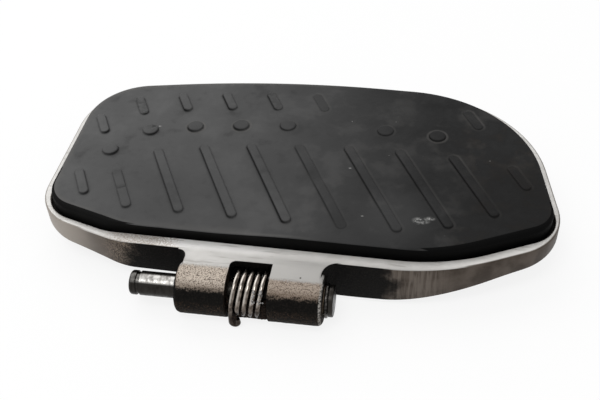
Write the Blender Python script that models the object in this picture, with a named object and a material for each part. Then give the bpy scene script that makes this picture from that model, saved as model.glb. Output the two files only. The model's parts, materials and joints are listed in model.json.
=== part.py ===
"""Folding floorboard for a motorcycle, modelled as an assembly of separate solids.

The board is laid out in the hinge frame: X runs along the hinge pin with zero halfway
between the outer faces of the knuckles, Y runs away from the hinge across the board, and
Z is up, with Y = Z = 0 on the pin's axis. Two empties on that axis carry the pieces: one
holds the pin, the other the board that folds about it. At the end both are set so that
the part stands on Z = 0 with the middle of its box over the origin.
"""
import math

import bmesh
import bpy
from mathutils import Vector

MM = 0.001

# Clearances
SEAT_GAP = 0.3 * MM            # between two pieces that touch
RUN_GAP = 0.15 * MM            # radial, pin in bush

# Board outline, the mouth of the pad recess: corner x, corner y, corner radius.
# The edges run anticlockwise seen from above, starting at the left end of the hinge side.
RECESS_CORNERS = (
    (-114.7 * MM, 32.1 * MM, 20.7 * MM),
    (-77.6 * MM, 20.8 * MM, 36.8 * MM),
    (90.7 * MM, 18.0 * MM, 94.8 * MM),
    (144.7 * MM, 43.8 * MM, 17.8 * MM),
    (127.3 * MM, 145.0 * MM, 74.4 * MM),
    (-10.1 * MM, 150.7 * MM, 567.8 * MM),
    (-115.3 * MM, 132.2 * MM, 34.7 * MM),
)
ARC_STEPS = (6, 4, 7, 6, 10, 8, 7)      # at the same corners
EDGE_STEPS = (1, 6, 1, 1, 1, 1, 1)      # along the edge after each corner
# Width of the rim beside each edge of that outline, and its own corner radii
RIM_WIDTHS = (3.7 * MM, 6.3 * MM, 5.0 * MM, 3.2 * MM, 4.9 * MM, 4.9 * MM, 4.3 * MM)
RIM_RADII = (29.0 * MM, 50.0 * MM, 117.0 * MM, 30.0 * MM, 72.0 * MM, 547.0 * MM, 39.0 * MM)

# Tray casting
RIM_EDGE_RADIUS = 1.0 * MM
RECESS_DEPTH = 2.5 * MM
FLOOR_THICKNESS = 2.8 * MM
SKIRT_WALL = 5.0 * MM
SIDE_DEPTH = 9.5 * MM          # skirt, rim top to lower edge, far from the hinge
HINGE_DEPTH = 20.0 * MM        # the same along the hinge side
DEPTH_FADE = 12.0 * MM         # how fast the skirt loses depth away from the hinge
SWELL_DEPTH = 3.4 * MM         # how much deeper it is just right of the hinge
SWELL_PLACE = 40.0 * MM        # x of the deepest place
SWELL_REACH = 45.0 * MM

# Knuckles and the tongue that carries them
KNUCKLE_RADIUS = 12.5 * MM
KNUCKLE_SPAN = 71.2 * MM
KNUCKLE_EDGE_RADIUS = 2.4 * MM
TONGUE_INSET = 1.8 * MM        # side of the tongue inside the knuckle's outer face
TONGUE_ROOT = 22.0 * MM        # how far behind the axis the tongue reaches
TONGUE_HEEL = 1.0 * MM         # underside of the tongue above the barrel's lowest line
FILLET_LEFT = 4.0 * MM
FILLET_RIGHT = 8.0 * MM

# Spring slot between the knuckles
SLOT_CORNER = 3.0 * MM         # radius at the back of the slot's left wall, in the lip
LIP_SETBACK = 3.45 * MM        # how far the lip over the slot stands proud of the slot's back
LIP_THICKNESS = 3.7 * MM

# Ribs under the floor
RIB_PLACES = (-77.0 * MM, -30.0 * MM, 30.0 * MM, 87.0 * MM)
RIB_WIDTH = 4.0 * MM
RIB_HEIGHT = 3.0 * MM
RIB_GUSSET = 34.0 * MM         # length of the deep part of a rib behind the hinge skirt
RIB_STEP_UP = 1.5 * MM         # the ribs stop this far above the skirt's lower edge

# Hinge pin
PIN_RADIUS = 6.0 * MM
PIN_TIP = -59.5 * MM           # x of the grooved end
PIN_HEAD_OVERHANG = 1.7 * MM
PIN_HEAD_THICKNESS = 2.4 * MM
PIN_CHAMFER = 1.2 * MM
GROOVE_INSET = 3.4 * MM        # end of the pin to the groove
GROOVE_WIDTH = 1.5 * MM
GROOVE_DEPTH = 0.7 * MM

# Washer under the pin's head
HEAD_WASHER_OVERHANG = 2.4 * MM
HEAD_WASHER_THICKNESS = 1.2 * MM

# Bushes in the knuckles
BUSH_WALL = 1.0 * MM
BUSH_PROUD = 0.5 * MM          # end of the bush beyond the knuckle's outer face

# Torsion spring
WIRE_RADIUS = 1.4 * MM
COIL_SLACK = 2.7 * MM          # inside of the coil to the pin
COIL_PITCH = 3.3 * MM
COIL_TURNS = 4.5
COIL_LEAN = 0.12               # the coil stands askew: shift along X per height
COIL_START = 6.8 * MM          # x where the coil leaves its rear leg
COIL_CLEARANCE = 0.55 * MM     # coil to the back of the slot
COIL_ROOM_LEFT = 1.15 * MM     # end of the coil to the slot's left wall
COIL_ROOM_RIGHT = 1.6 * MM
STEPS_PER_TURN = 16
LEG_BEND = 2.5 * MM
LEG_DROP = 5.5 * MM            # rear leg below the pin's axis
LEG_LENGTH = 20.0 * MM         # end of the rear leg behind the pin's axis
HOOK_RADIUS = 1.6 * MM
HOOK_DROP = 9.0 * MM           # centre of the front hook below the pin's axis
HOOK_LEAN = 0.95 * MM          # the hook stands this far in front of the coil
HOOK_TAIL = 2.4 * MM
LEG_ROOM = 0.4 * MM            # rear leg to each side of its channel

# Rubber pad
PAD_GAP = 1.5 * MM             # pad to the mouth of the recess
PAD_PROUD = 6.2 * MM           # pad top above the rim
PAD_EDGE = 1.2 * MM
PAD_WORN_EDGE = 4.0 * MM       # the same on the worn hinge side at the right
PAD_EDGE_SLOPE = 0.6

# Raised pattern on the pad
ROW_ANGLE = math.radians(27.7)
ROW_PITCH = 27.1 * MM
ROW_ORIGIN = (0.8 * MM, 106.3 * MM)
ROW_COUNT_LEFT = 4
ROW_COUNT_RIGHT = 4
RELIEF = 1.3 * MM
WORN_RELIEF = 0.4 * MM
PILL_WIDTH = 4.9 * MM
DOT_RADIUS = 4.3 * MM
SHORT_PILL = (11.4 * MM, 28.4 * MM)    # start and end from the pad's far edge
DOT_PLACE = 43.9 * MM
LONG_PILL_START = 61.4 * MM
ROW_SETBACKS = {2: 0.6 * MM, 3: 1.7 * MM, 4: 1.3 * MM}     # rows that start further in
LONG_PILL_MARGIN = 11.5 * MM           # from the pad's near edge
WIDER_MARGINS = {1: 12.6 * MM, 2: 13.9 * MM, 3: 14.6 * MM, 4: 23.1 * MM}   # by row
CORNER_ROW = -129.5 * MM               # the short extra row at the left corner
CORNER_PILL = (22.4 * MM, 16.3 * MM)   # its distances from the pad's far and near edges
# Rows counted from the middle one where the relief is worn low or away
WORN_SHORT = (1, 4)
GONE_SHORT = (2, 3)
GONE_DOTS = (1, 4)

# Backing plate and its fixings
PLATE_THICKNESS = 2.0 * MM
PLATE_INSET = 4.0 * MM         # plate edge inside the pad's edge
FIXINGS = ((-92.0 * MM, 104.0 * MM), (-56.0 * MM, 48.0 * MM), (8.0 * MM, 88.0 * MM),
           (66.0 * MM, 48.0 * MM), (108.0 * MM, 104.0 * MM))
SCREW_RADIUS = 3.0 * MM
SCREW_HEAD_RADIUS = 5.6 * MM
SCREW_HEAD_HEIGHT = 2.6 * MM
SCREW_SOCKET_RADIUS = 2.3 * MM
SCREW_SOCKET_DEPTH = 1.6 * MM
HOLE_CLEARANCE = 0.4 * MM
WASHER_RADIUS = 6.4 * MM
WASHER_THICKNESS = 1.0 * MM
NUT_ACROSS_FLATS = 10.0 * MM
NUT_HEIGHT = 3.2 * MM
NUT_POCKET_CLEARANCE = 0.6 * MM

PIN_SEGMENTS = 40
ROUND_SEGMENTS = 24
CUT_MARGIN = 10.0 * MM         # how far a cutter runs past what it cuts

# Heights in the hinge frame
RIM_TOP = KNUCKLE_RADIUS
FLOOR_TOP = RIM_TOP - RECESS_DEPTH
FLOOR_UNDERSIDE = FLOOR_TOP - FLOOR_THICKNESS
PLATE_BOTTOM = FLOOR_TOP + SEAT_GAP
PLATE_TOP = PLATE_BOTTOM + PLATE_THICKNESS
PAD_TOP = RIM_TOP + PAD_PROUD
NUT_BOTTOM = PLATE_TOP + SEAT_GAP
NUT_TOP = NUT_BOTTOM + NUT_HEIGHT
WASHER_TOP = FLOOR_UNDERSIDE - SEAT_GAP
WASHER_BOTTOM = WASHER_TOP - WASHER_THICKNESS
SCREW_HEAD_TOP = WASHER_BOTTOM - SEAT_GAP
SCREW_HEAD_BOTTOM = SCREW_HEAD_TOP - SCREW_HEAD_HEIGHT

# Radii and places around the hinge
PIN_HEAD_RADIUS = PIN_RADIUS + PIN_HEAD_OVERHANG
HEAD_WASHER_RADIUS = PIN_RADIUS + HEAD_WASHER_OVERHANG
BUSH_BORE = PIN_RADIUS + RUN_GAP
BUSH_RADIUS = BUSH_BORE + BUSH_WALL
KNUCKLE_BORE = BUSH_RADIUS + SEAT_GAP
KNUCKLE_FACE = KNUCKLE_SPAN / 2
COIL_RADIUS = PIN_RADIUS + COIL_SLACK + WIRE_RADIUS
LEG_CHANNEL = 2 * (WIRE_RADIUS + LEG_ROOM)
COIL_END = COIL_START - COIL_PITCH * COIL_TURNS
SLOT_LEFT = COIL_END - WIRE_RADIUS - COIL_ROOM_LEFT
SLOT_RIGHT = COIL_START + WIRE_RADIUS + COIL_ROOM_RIGHT
SLOT_BACK = COIL_RADIUS + WIRE_RADIUS + COIL_CLEARANCE
LIP_EDGE = SLOT_BACK - LIP_SETBACK
HEAD_WASHER_FACE = KNUCKLE_FACE + BUSH_PROUD + SEAT_GAP
PIN_HEAD_FACE = HEAD_WASHER_FACE + HEAD_WASHER_THICKNESS + SEAT_GAP


# Materials

def material(name, colour, roughness, metallic=0.0):
    made = bpy.data.materials.new(name)
    made.use_nodes = True
    shader = made.node_tree.nodes["Principled BSDF"]
    shader.inputs["Base Color"].default_value = (*colour, 1.0)
    shader.inputs["Roughness"].default_value = roughness
    shader.inputs["Metallic"].default_value = metallic
    made.diffuse_color = (*colour, 1.0)
    return made


# Outlines

def corner_offsets(corners, distances):
    """Moves each edge of a convex outline outwards by its own distance."""
    count = len(corners)
    points = [Vector(c[:2]) for c in corners]
    normals = []
    for i in range(count):
        along = (points[(i + 1) % count] - points[i]).normalized()
        normals.append(Vector((along.y, -along.x)))
    moved = []
    for i, corner in enumerate(corners):
        before, after = normals[i - 1], normals[i]
        d_before, d_after = distances[i - 1], distances[i]
        turn = before.x * after.y - before.y * after.x
        x = points[i].x + (d_before * after.y - d_after * before.y) / turn
        y = points[i].y + (d_after * before.x - d_before * after.x) / turn
        moved.append((x, y, corner[2] + (d_before + d_after) / 2))
    return moved


def offset_all(corners, distance):
    return corner_offsets(corners, [distance] * len(corners))


def rounded_outline(corners):
    """Points of a convex outline whose corners are arcs, anticlockwise."""
    arcs = []
    count = len(corners)
    for i, ((x, y, radius), steps) in enumerate(zip(corners, ARC_STEPS)):
        here = Vector((x, y))
        to_last = (Vector(corners[i - 1][:2]) - here).normalized()
        to_next = (Vector(corners[(i + 1) % count][:2]) - here).normalized()
        half = to_last.angle(to_next) / 2
        centre = here + (to_last + to_next).normalized() * radius / math.sin(half)
        start = here + to_last * radius / math.tan(half) - centre
        sweep = math.pi - 2 * half
        arc = []
        for step in range(steps + 1):
            angle = sweep * step / steps
            turned = Vector((start.x * math.cos(angle) - start.y * math.sin(angle),
                             start.x * math.sin(angle) + start.y * math.cos(angle)))
            arc.append(centre + turned)
        arcs.append(arc)
    points = []
    for i, arc in enumerate(arcs):
        first = arcs[(i + 1) % count][0]
        points += arc
        for step in range(1, EDGE_STEPS[i]):
            points.append(arc[-1].lerp(first, step / EDGE_STEPS[i]))
    return points


def crossings(outline, origin, along):
    """Distances along a line at which it enters and leaves an outline."""
    found = []
    for i, a in enumerate(outline):
        b = outline[(i + 1) % len(outline)]
        edge = b - a
        cross = along.x * edge.y - along.y * edge.x
        if abs(cross) < 1e-12:
            continue
        to_a = a - origin
        share = (to_a.x * along.y - to_a.y * along.x) / cross
        if 0 <= share < 1:
            found.append((to_a.x * edge.y - to_a.y * edge.x) / cross)
    return min(found), max(found)


def circle(radius, segments, centre=(0.0, 0.0)):
    step = 2 * math.pi / segments
    return [Vector((centre[0] + radius * math.cos(step * i),
                    centre[1] + radius * math.sin(step * i))) for i in range(segments)]


def capsule(start, end, radius, steps=6):
    """Outline of a pill with round ends, anticlockwise."""
    along = (end - start).normalized()
    heading = math.atan2(along.y, along.x)
    points = []
    for centre, turn in ((end, heading - math.pi / 2), (start, heading + math.pi / 2)):
        for step in range(steps + 1):
            angle = turn + math.pi * step / steps
            points.append(centre + radius * Vector((math.cos(angle), math.sin(angle))))
    return points


# Meshes

def add_rings(bm, rings, close_ends=True):
    """Skins a stack of rings with equal point counts and caps both ends."""
    made = [[bm.verts.new(point) for point in ring] for ring in rings]
    for low, high in zip(made, made[1:]):
        for i in range(len(low)):
            j = (i + 1) % len(low)
            bm.faces.new((low[i], low[j], high[j], high[i]))
    if close_ends:
        bm.faces.new(list(reversed(made[0])))
        bm.faces.new(made[-1])
    return made


def level(outline, height):
    return [(p.x, p.y, height) for p in outline]


def add_prism(bm, outline, low, high):
    add_rings(bm, [level(outline, low), level(outline, high)])


def turned_rings(profile, segments):
    """Rings about the X axis, one for each (x, radius) point, with a flat facing up."""
    angles = [2 * math.pi * (i + 0.5) / segments for i in range(segments)]
    return [[(x, radius * math.sin(angle), radius * math.cos(angle)) for angle in angles]
            for x, radius in profile]


def add_turned_solid(bm, profile, segments):
    """Turns an open profile about X and caps its two ends."""
    add_rings(bm, turned_rings(profile, segments))


def add_looped_rings(bm, rings):
    """Skins a stack of rings and joins the last one back to the first."""
    made = add_rings(bm, rings, close_ends=False)
    first, last = made[0], made[-1]
    for i in range(len(first)):
        j = (i + 1) % len(first)
        bm.faces.new((last[i], last[j], first[j], first[i]))


def add_turned_ring(bm, profile, segments):
    """Turns a closed profile about X, which leaves a bore."""
    add_looped_rings(bm, turned_rings(profile, segments))


def add_side_prism(bm, outline, left, right):
    """Runs an outline in the YZ plane along X."""
    add_rings(bm, [[(left, p[0], p[1]) for p in outline],
                   [(right, p[0], p[1]) for p in outline]])


def new_object(name, bm, look=None, parent=None):
    bmesh.ops.recalc_face_normals(bm, faces=bm.faces)
    mesh = bpy.data.meshes.new(name)
    bm.to_mesh(mesh)
    bm.free()
    made = bpy.data.objects.new(name, mesh)
    bpy.context.scene.collection.objects.link(made)
    if look:
        mesh.materials.append(look)
        mesh.shade_smooth()
        mesh.set_sharp_from_angle(angle=math.radians(30))
    if parent:
        made.parent = parent
    return made


def tool_object(name, bm, parent):
    """A body that only cuts or joins another, hidden from the finished model."""
    made = new_object(name, bm, parent=parent)
    made.hide_render = True
    made.display_type = "WIRE"
    return made


def combine(target, tool, operation):
    step = target.modifiers.new(tool.name, "BOOLEAN")
    step.operation = operation
    step.solver = "EXACT"
    step.object = tool


# Outlines that the pieces share

RECESS = rounded_outline(RECESS_CORNERS)
RIM_CORNERS = [(x, y, radius) for (x, y, _), radius
               in zip(corner_offsets(RECESS_CORNERS, RIM_WIDTHS), RIM_RADII)]
RIM = rounded_outline(RIM_CORNERS)
PAD_CORNERS = offset_all(RECESS_CORNERS, -PAD_GAP)
PAD = rounded_outline(PAD_CORNERS)
NEAREST_RIM = min(p.y for p in RIM)


def skirt_bottom(x, y):
    """Height of the skirt's lower edge: deep beside the hinge, shallow elsewhere."""
    fade = math.exp(-(y - NEAREST_RIM) / DEPTH_FADE)
    swell = SWELL_DEPTH * math.exp(-((x - SWELL_PLACE) / SWELL_REACH) ** 2)
    return RIM_TOP - SIDE_DEPTH - (HINGE_DEPTH - SIDE_DEPTH + swell) * fade


# Tray casting

def tray_shell():
    edge = rounded_outline(offset_all(RIM_CORNERS, -RIM_EDGE_RADIUS))
    inside = rounded_outline(offset_all(RIM_CORNERS, -SKIRT_WALL))
    bm = bmesh.new()
    add_rings(bm, [
        level(inside, FLOOR_UNDERSIDE),
        [(p.x, p.y, skirt_bottom(p.x, p.y)) for p in inside],
        [(p.x, p.y, skirt_bottom(p.x, p.y)) for p in RIM],
        level(RIM, RIM_TOP - RIM_EDGE_RADIUS),
        level(edge, RIM_TOP),
        level(RECESS, RIM_TOP),
        level(RECESS, FLOOR_TOP),
    ])
    return bm


def barrel():
    """The knuckles before the spring slot parts them, with rounded ends."""
    profile = []
    steps = 4
    for step in range(steps + 1):
        angle = math.pi / 2 * step / steps
        profile.append((-KNUCKLE_FACE + KNUCKLE_EDGE_RADIUS * (1 - math.sin(angle)),
                        KNUCKLE_RADIUS - KNUCKLE_EDGE_RADIUS * (1 - math.cos(angle))))
    profile.reverse()
    mirrored = [(-x, radius) for x, radius in reversed(profile)]
    bm = bmesh.new()
    add_turned_solid(bm, profile + mirrored, PIN_SEGMENTS)
    return bm


def tongue_plan():
    """The tongue from above, with fillets where it leaves the rim."""
    half = KNUCKLE_FACE - TONGUE_INSET
    root = NEAREST_RIM + RIM_EDGE_RADIUS
    steps = 5
    points = [Vector((-half, 0.0)), Vector((half, 0.0))]
    for step in range(steps + 1):
        angle = math.pi - math.pi / 2 * step / steps
        points.append(Vector((half + FILLET_RIGHT * (1 + math.cos(angle)),
                              root - FILLET_RIGHT * (1 - math.sin(angle)))))
    points.append(Vector((half + FILLET_RIGHT, TONGUE_ROOT)))
    points.append(Vector((-half - FILLET_LEFT, TONGUE_ROOT)))
    for step in range(steps + 1):
        angle = math.pi / 2 - math.pi / 2 * step / steps
        points.append(Vector((-half - FILLET_LEFT * (1 - math.cos(angle)),
                              root - FILLET_LEFT * (1 - math.sin(angle)))))
    return points


def tongue_side():
    """The tongue from its end, in the YZ plane."""
    heel = -KNUCKLE_RADIUS + TONGUE_HEEL
    mid_rim = NEAREST_RIM + RIM_WIDTHS[1] / 2
    mid_floor = (FLOOR_TOP + FLOOR_UNDERSIDE) / 2
    return ((0.0, heel), (NEAREST_RIM, skirt_bottom(0.0, NEAREST_RIM)),
            (TONGUE_ROOT, skirt_bottom(0.0, TONGUE_ROOT)), (TONGUE_ROOT, mid_floor),
            (mid_rim, mid_floor), (mid_rim, RIM_TOP), (0.0, RIM_TOP))


def slot_plan():
    """The spring slot from above, open in front, with its back corner rounded."""
    front = -KNUCKLE_RADIUS - CUT_MARGIN
    steps = 4
    points = [Vector((SLOT_LEFT, front)), Vector((SLOT_RIGHT, front)),
              Vector((SLOT_RIGHT, LIP_EDGE))]
    for step in range(steps + 1):
        angle = math.pi / 2 + math.pi / 2 * step / steps
        points.append(Vector((SLOT_LEFT + SLOT_CORNER * (1 + math.cos(angle)),
                              LIP_EDGE - SLOT_CORNER * (1 - math.sin(angle)))))
    return points


def slot_undercut():
    """The slot below the lip at its back, from its end, in the YZ plane."""
    front = -KNUCKLE_RADIUS - CUT_MARGIN
    bottom = -KNUCKLE_RADIUS - CUT_MARGIN
    under_lip = RIM_TOP - LIP_THICKNESS
    return ((front, bottom), (SLOT_BACK, bottom), (SLOT_BACK, under_lip), (front, under_lip))


def ribs():
    """Ribs under the floor, deeper where they back the hinge skirt."""
    near = NEAREST_RIM + SKIRT_WALL / 2
    far = max(p.y for p in RIM) - SKIRT_WALL / 2
    top = FLOOR_UNDERSIDE + FLOOR_THICKNESS / 2
    low = FLOOR_UNDERSIDE - RIB_HEIGHT
    bm = bmesh.new()
    for x in RIB_PLACES:
        deep = skirt_bottom(x, near) + RIB_STEP_UP
        outline = ((near, deep), (near + RIB_GUSSET, low), (far, low), (far, top), (near, top))
        add_side_prism(bm, outline, x - RIB_WIDTH / 2, x + RIB_WIDTH / 2)
    return bm


def make_tray(look, parent):
    tray = new_object("tray_casting", tray_shell(), look, parent)

    rib_body = tool_object("tool_ribs", ribs(), parent)
    bm = bmesh.new()
    within = rounded_outline(offset_all(RIM_CORNERS, -SKIRT_WALL / 2))
    add_prism(bm, within, -HINGE_DEPTH - CUT_MARGIN, RIM_TOP + CUT_MARGIN)
    combine(rib_body, tool_object("tool_rib_limit", bm, parent), "INTERSECT")
    combine(tray, rib_body, "UNION")

    bm = bmesh.new()
    add_prism(bm, tongue_plan(), -KNUCKLE_RADIUS - CUT_MARGIN, RIM_TOP + CUT_MARGIN)
    tongue = tool_object("tool_tongue", bm, parent)
    bm = bmesh.new()
    add_side_prism(bm, tongue_side(), -KNUCKLE_SPAN, KNUCKLE_SPAN)
    combine(tongue, tool_object("tool_tongue_side", bm, parent), "INTERSECT")
    combine(tray, tongue, "UNION")
    combine(tray, tool_object("tool_barrel", barrel(), parent), "UNION")

    bm = bmesh.new()
    add_side_prism(bm, slot_undercut(), SLOT_LEFT, SLOT_RIGHT)
    combine(tray, tool_object("tool_slot_undercut", bm, parent), "DIFFERENCE")
    bm = bmesh.new()
    add_prism(bm, slot_plan(), 0.0, RIM_TOP + CUT_MARGIN)
    combine(tray, tool_object("tool_slot_mouth", bm, parent), "DIFFERENCE")

    reach = KNUCKLE_FACE + CUT_MARGIN
    bm = bmesh.new()
    add_turned_solid(bm, ((-reach, KNUCKLE_BORE), (reach, KNUCKLE_BORE)), PIN_SEGMENTS)
    combine(tray, tool_object("tool_bore", bm, parent), "DIFFERENCE")

    leg_x = COIL_START
    bm = bmesh.new()
    ceiling = -LEG_DROP + WIRE_RADIUS + SEAT_GAP
    floor = -HINGE_DEPTH - CUT_MARGIN
    channel = ((SLOT_BACK - LIP_SETBACK, floor), (TONGUE_ROOT + CUT_MARGIN, floor),
               (TONGUE_ROOT + CUT_MARGIN, ceiling), (SLOT_BACK - LIP_SETBACK, ceiling))
    add_side_prism(bm, channel, leg_x - LEG_CHANNEL / 2, leg_x + LEG_CHANNEL / 2)
    combine(tray, tool_object("tool_leg_channel", bm, parent), "DIFFERENCE")

    bm = bmesh.new()
    for place in FIXINGS:
        hole = circle(SCREW_RADIUS + HOLE_CLEARANCE, ROUND_SEGMENTS, place)
        add_prism(bm, hole, FLOOR_UNDERSIDE - CUT_MARGIN / 2, FLOOR_TOP + CUT_MARGIN / 2)
    combine(tray, tool_object("tool_screw_holes", bm, parent), "DIFFERENCE")
    return tray


# Rubber pad

def pad_body():
    insets = [-PAD_EDGE] * len(PAD_CORNERS)
    insets[2] = -PAD_WORN_EDGE
    top = rounded_outline(corner_offsets(PAD_CORNERS, insets))
    shoulder = [(p.x, p.y, PAD_TOP - PAD_EDGE_SLOPE * (p - q).length)
                for p, q in zip(PAD, top)]
    bm = bmesh.new()
    add_rings(bm, [level(PAD, PLATE_BOTTOM), shoulder, level(top, PAD_TOP)])
    return bm


def pattern():
    """Outline and height of each raised pill and dot."""
    along = Vector((math.sin(ROW_ANGLE), -math.cos(ROW_ANGLE)))
    half = PILL_WIDTH / 2
    shapes = []
    for row in range(-ROW_COUNT_LEFT, ROW_COUNT_RIGHT + 1):
        origin = Vector(ROW_ORIGIN) + Vector((row * ROW_PITCH, 0.0))
        enter, leave = crossings(PAD, origin, along)
        enter += ROW_SETBACKS.get(row, 0.0)
        if row not in GONE_SHORT:
            height = WORN_RELIEF if row in WORN_SHORT else RELIEF
            start = origin + along * (enter + SHORT_PILL[0] + half)
            end = origin + along * (enter + SHORT_PILL[1] - half)
            shapes.append((capsule(start, end, half), height))
        if row not in GONE_DOTS:
            centre = origin + along * (enter + DOT_PLACE)
            shapes.append((circle(DOT_RADIUS, ROUND_SEGMENTS, centre), RELIEF))
        margin = WIDER_MARGINS.get(row, LONG_PILL_MARGIN)
        start = origin + along * (enter + LONG_PILL_START + half)
        end = origin + along * (leave - margin - half)
        shapes.append((capsule(start, end, half), RELIEF))
    origin = Vector(ROW_ORIGIN) + Vector((CORNER_ROW, 0.0))
    enter, leave = crossings(PAD, origin, along)
    start = origin + along * (enter + CORNER_PILL[0] + half)
    end = origin + along * (leave - CORNER_PILL[1] - half)
    shapes.append((capsule(start, end, half), RELIEF))
    return shapes


def make_pad(look, parent):
    pad = new_object("rubber_pad", pad_body(), look, parent)
    bm = bmesh.new()
    for outline, height in pattern():
        add_prism(bm, outline, PAD_TOP - RELIEF, PAD_TOP + height)
    combine(pad, tool_object("tool_pattern", bm, parent), "UNION")

    pocket = rounded_outline(offset_all(PAD_CORNERS, -PLATE_INSET + SEAT_GAP))
    bm = bmesh.new()
    add_prism(bm, pocket, PLATE_BOTTOM - CUT_MARGIN, PLATE_TOP + SEAT_GAP)
    combine(pad, tool_object("tool_plate_pocket", bm, parent), "DIFFERENCE")

    nut_corner = NUT_ACROSS_FLATS / 2 / math.cos(math.pi / 6)
    bm = bmesh.new()
    for place in FIXINGS:
        well = circle(nut_corner + NUT_POCKET_CLEARANCE, ROUND_SEGMENTS, place)
        add_prism(bm, well, PLATE_BOTTOM - CUT_MARGIN, NUT_TOP + SEAT_GAP)
    combine(pad, tool_object("tool_nut_pockets", bm, parent), "DIFFERENCE")
    return pad


def make_plate(look, parent):
    bm = bmesh.new()
    outline = rounded_outline(offset_all(PAD_CORNERS, -PLATE_INSET))
    add_prism(bm, outline, PLATE_BOTTOM, PLATE_TOP)
    plate = new_object("backing_plate", bm, look, parent)
    bm = bmesh.new()
    for place in FIXINGS:
        hole = circle(SCREW_RADIUS + HOLE_CLEARANCE, ROUND_SEGMENTS, place)
        add_prism(bm, hole, PLATE_BOTTOM - CUT_MARGIN, PLATE_TOP + CUT_MARGIN)
    combine(plate, tool_object("tool_plate_holes", bm, parent), "DIFFERENCE")
    return plate


# Fixings, each modelled about its own axis and then set in place

def add_holed_prism(bm, outer, inner, low, high):
    """A prism with a hole, its two outlines having equal point counts."""
    add_looped_rings(bm, [level(outer, low), level(outer, high),
                          level(inner, high), level(inner, low)])


def hexagon(across_flats, segments):
    """A hexagon with its points spread evenly round, so that it can face a circle."""
    points = []
    for i in range(segments):
        angle = 2 * math.pi * i / segments
        off_flat = (angle + math.pi / 6) % (math.pi / 3) - math.pi / 6
        radius = across_flats / 2 / math.cos(off_flat)
        points.append(Vector((radius * math.cos(angle), radius * math.sin(angle))))
    return points


def weld_nut():
    bm = bmesh.new()
    bore = circle(SCREW_RADIUS + SEAT_GAP, ROUND_SEGMENTS)
    add_holed_prism(bm, hexagon(NUT_ACROSS_FLATS, ROUND_SEGMENTS), bore, NUT_BOTTOM, NUT_TOP)
    return bm


def washer():
    bm = bmesh.new()
    bore = circle(SCREW_RADIUS + HOLE_CLEARANCE, ROUND_SEGMENTS)
    outer = circle(WASHER_RADIUS, ROUND_SEGMENTS)
    add_holed_prism(bm, outer, bore, WASHER_BOTTOM, WASHER_TOP)
    return bm


def screw():
    """A low domed head with a hexagon socket below, and the shank above it."""
    dome = SCREW_HEAD_HEIGHT / 3
    bm = bmesh.new()
    head = circle(SCREW_HEAD_RADIUS, ROUND_SEGMENTS)
    crown = circle(SCREW_HEAD_RADIUS - dome, ROUND_SEGMENTS)
    socket = hexagon(2 * SCREW_SOCKET_RADIUS, ROUND_SEGMENTS)
    shank = circle(SCREW_RADIUS, ROUND_SEGMENTS)
    tip = circle(SCREW_RADIUS - dome / 2, ROUND_SEGMENTS)
    end = NUT_TOP - SEAT_GAP
    add_rings(bm, [
        level(socket, SCREW_HEAD_BOTTOM + SCREW_SOCKET_DEPTH),
        level(socket, SCREW_HEAD_BOTTOM),
        level(crown, SCREW_HEAD_BOTTOM),
        level(head, SCREW_HEAD_BOTTOM + dome),
        level(head, SCREW_HEAD_TOP),
        level(shank, SCREW_HEAD_TOP),
        level(shank, end - dome / 2),
        level(tip, end),
    ])
    return bm


def make_fixings(looks, parent):
    for number, (x, y) in enumerate(FIXINGS, start=1):
        for name, build in (("weld_nut", weld_nut), ("pad_screw", screw),
                            ("screw_washer", washer)):
            made = new_object(f"{name}_{number}", build(), looks[name], parent)
            made.location = (x, y, 0.0)


# Hinge pieces

def pin_profile():
    groove = PIN_TIP + GROOVE_INSET
    head_end = PIN_HEAD_FACE + PIN_HEAD_THICKNESS
    edge = PIN_CHAMFER / 2
    return (
        (PIN_TIP, PIN_RADIUS - PIN_CHAMFER),
        (PIN_TIP + PIN_CHAMFER / 2, PIN_RADIUS - PIN_CHAMFER / 3),
        (PIN_TIP + PIN_CHAMFER, PIN_RADIUS),
        (groove, PIN_RADIUS),
        (groove, PIN_RADIUS - GROOVE_DEPTH),
        (groove + GROOVE_WIDTH, PIN_RADIUS - GROOVE_DEPTH),
        (groove + GROOVE_WIDTH, PIN_RADIUS),
        (PIN_HEAD_FACE, PIN_RADIUS),
        (PIN_HEAD_FACE, PIN_HEAD_RADIUS - edge),
        (PIN_HEAD_FACE + edge, PIN_HEAD_RADIUS),
        (head_end - edge, PIN_HEAD_RADIUS),
        (head_end, PIN_HEAD_RADIUS - edge),
    )


def make_pin(looks, parent):
    bm = bmesh.new()
    add_turned_solid(bm, pin_profile(), PIN_SEGMENTS)
    new_object("hinge_pin", bm, looks["hinge_pin"], parent)

    face = HEAD_WASHER_FACE
    back = face + HEAD_WASHER_THICKNESS
    bore = PIN_RADIUS + SEAT_GAP
    bm = bmesh.new()
    add_turned_ring(bm, ((face, bore), (face, HEAD_WASHER_RADIUS), (back, HEAD_WASHER_RADIUS),
                    (back, bore)), PIN_SEGMENTS)
    new_object("head_washer", bm, looks["head_washer"], parent)


def make_bushes(look, parent):
    outside = KNUCKLE_FACE + BUSH_PROUD
    for name, start, end in (("bush_left", -outside, SLOT_LEFT),
                             ("bush_right", SLOT_RIGHT, outside)):
        bm = bmesh.new()
        add_turned_ring(bm, ((start, BUSH_BORE), (start, BUSH_RADIUS), (end, BUSH_RADIUS),
                        (end, BUSH_BORE)), PIN_SEGMENTS)
        new_object(name, bm, look, parent)


def bend(centre, radius, first, second, steps=5):
    """Points of a quarter turn from the direction first to the direction second."""
    return [centre + radius * (math.cos(math.pi / 2 * i / steps) * first
                               + math.sin(math.pi / 2 * i / steps) * second)
            for i in range(steps + 1)]


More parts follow.
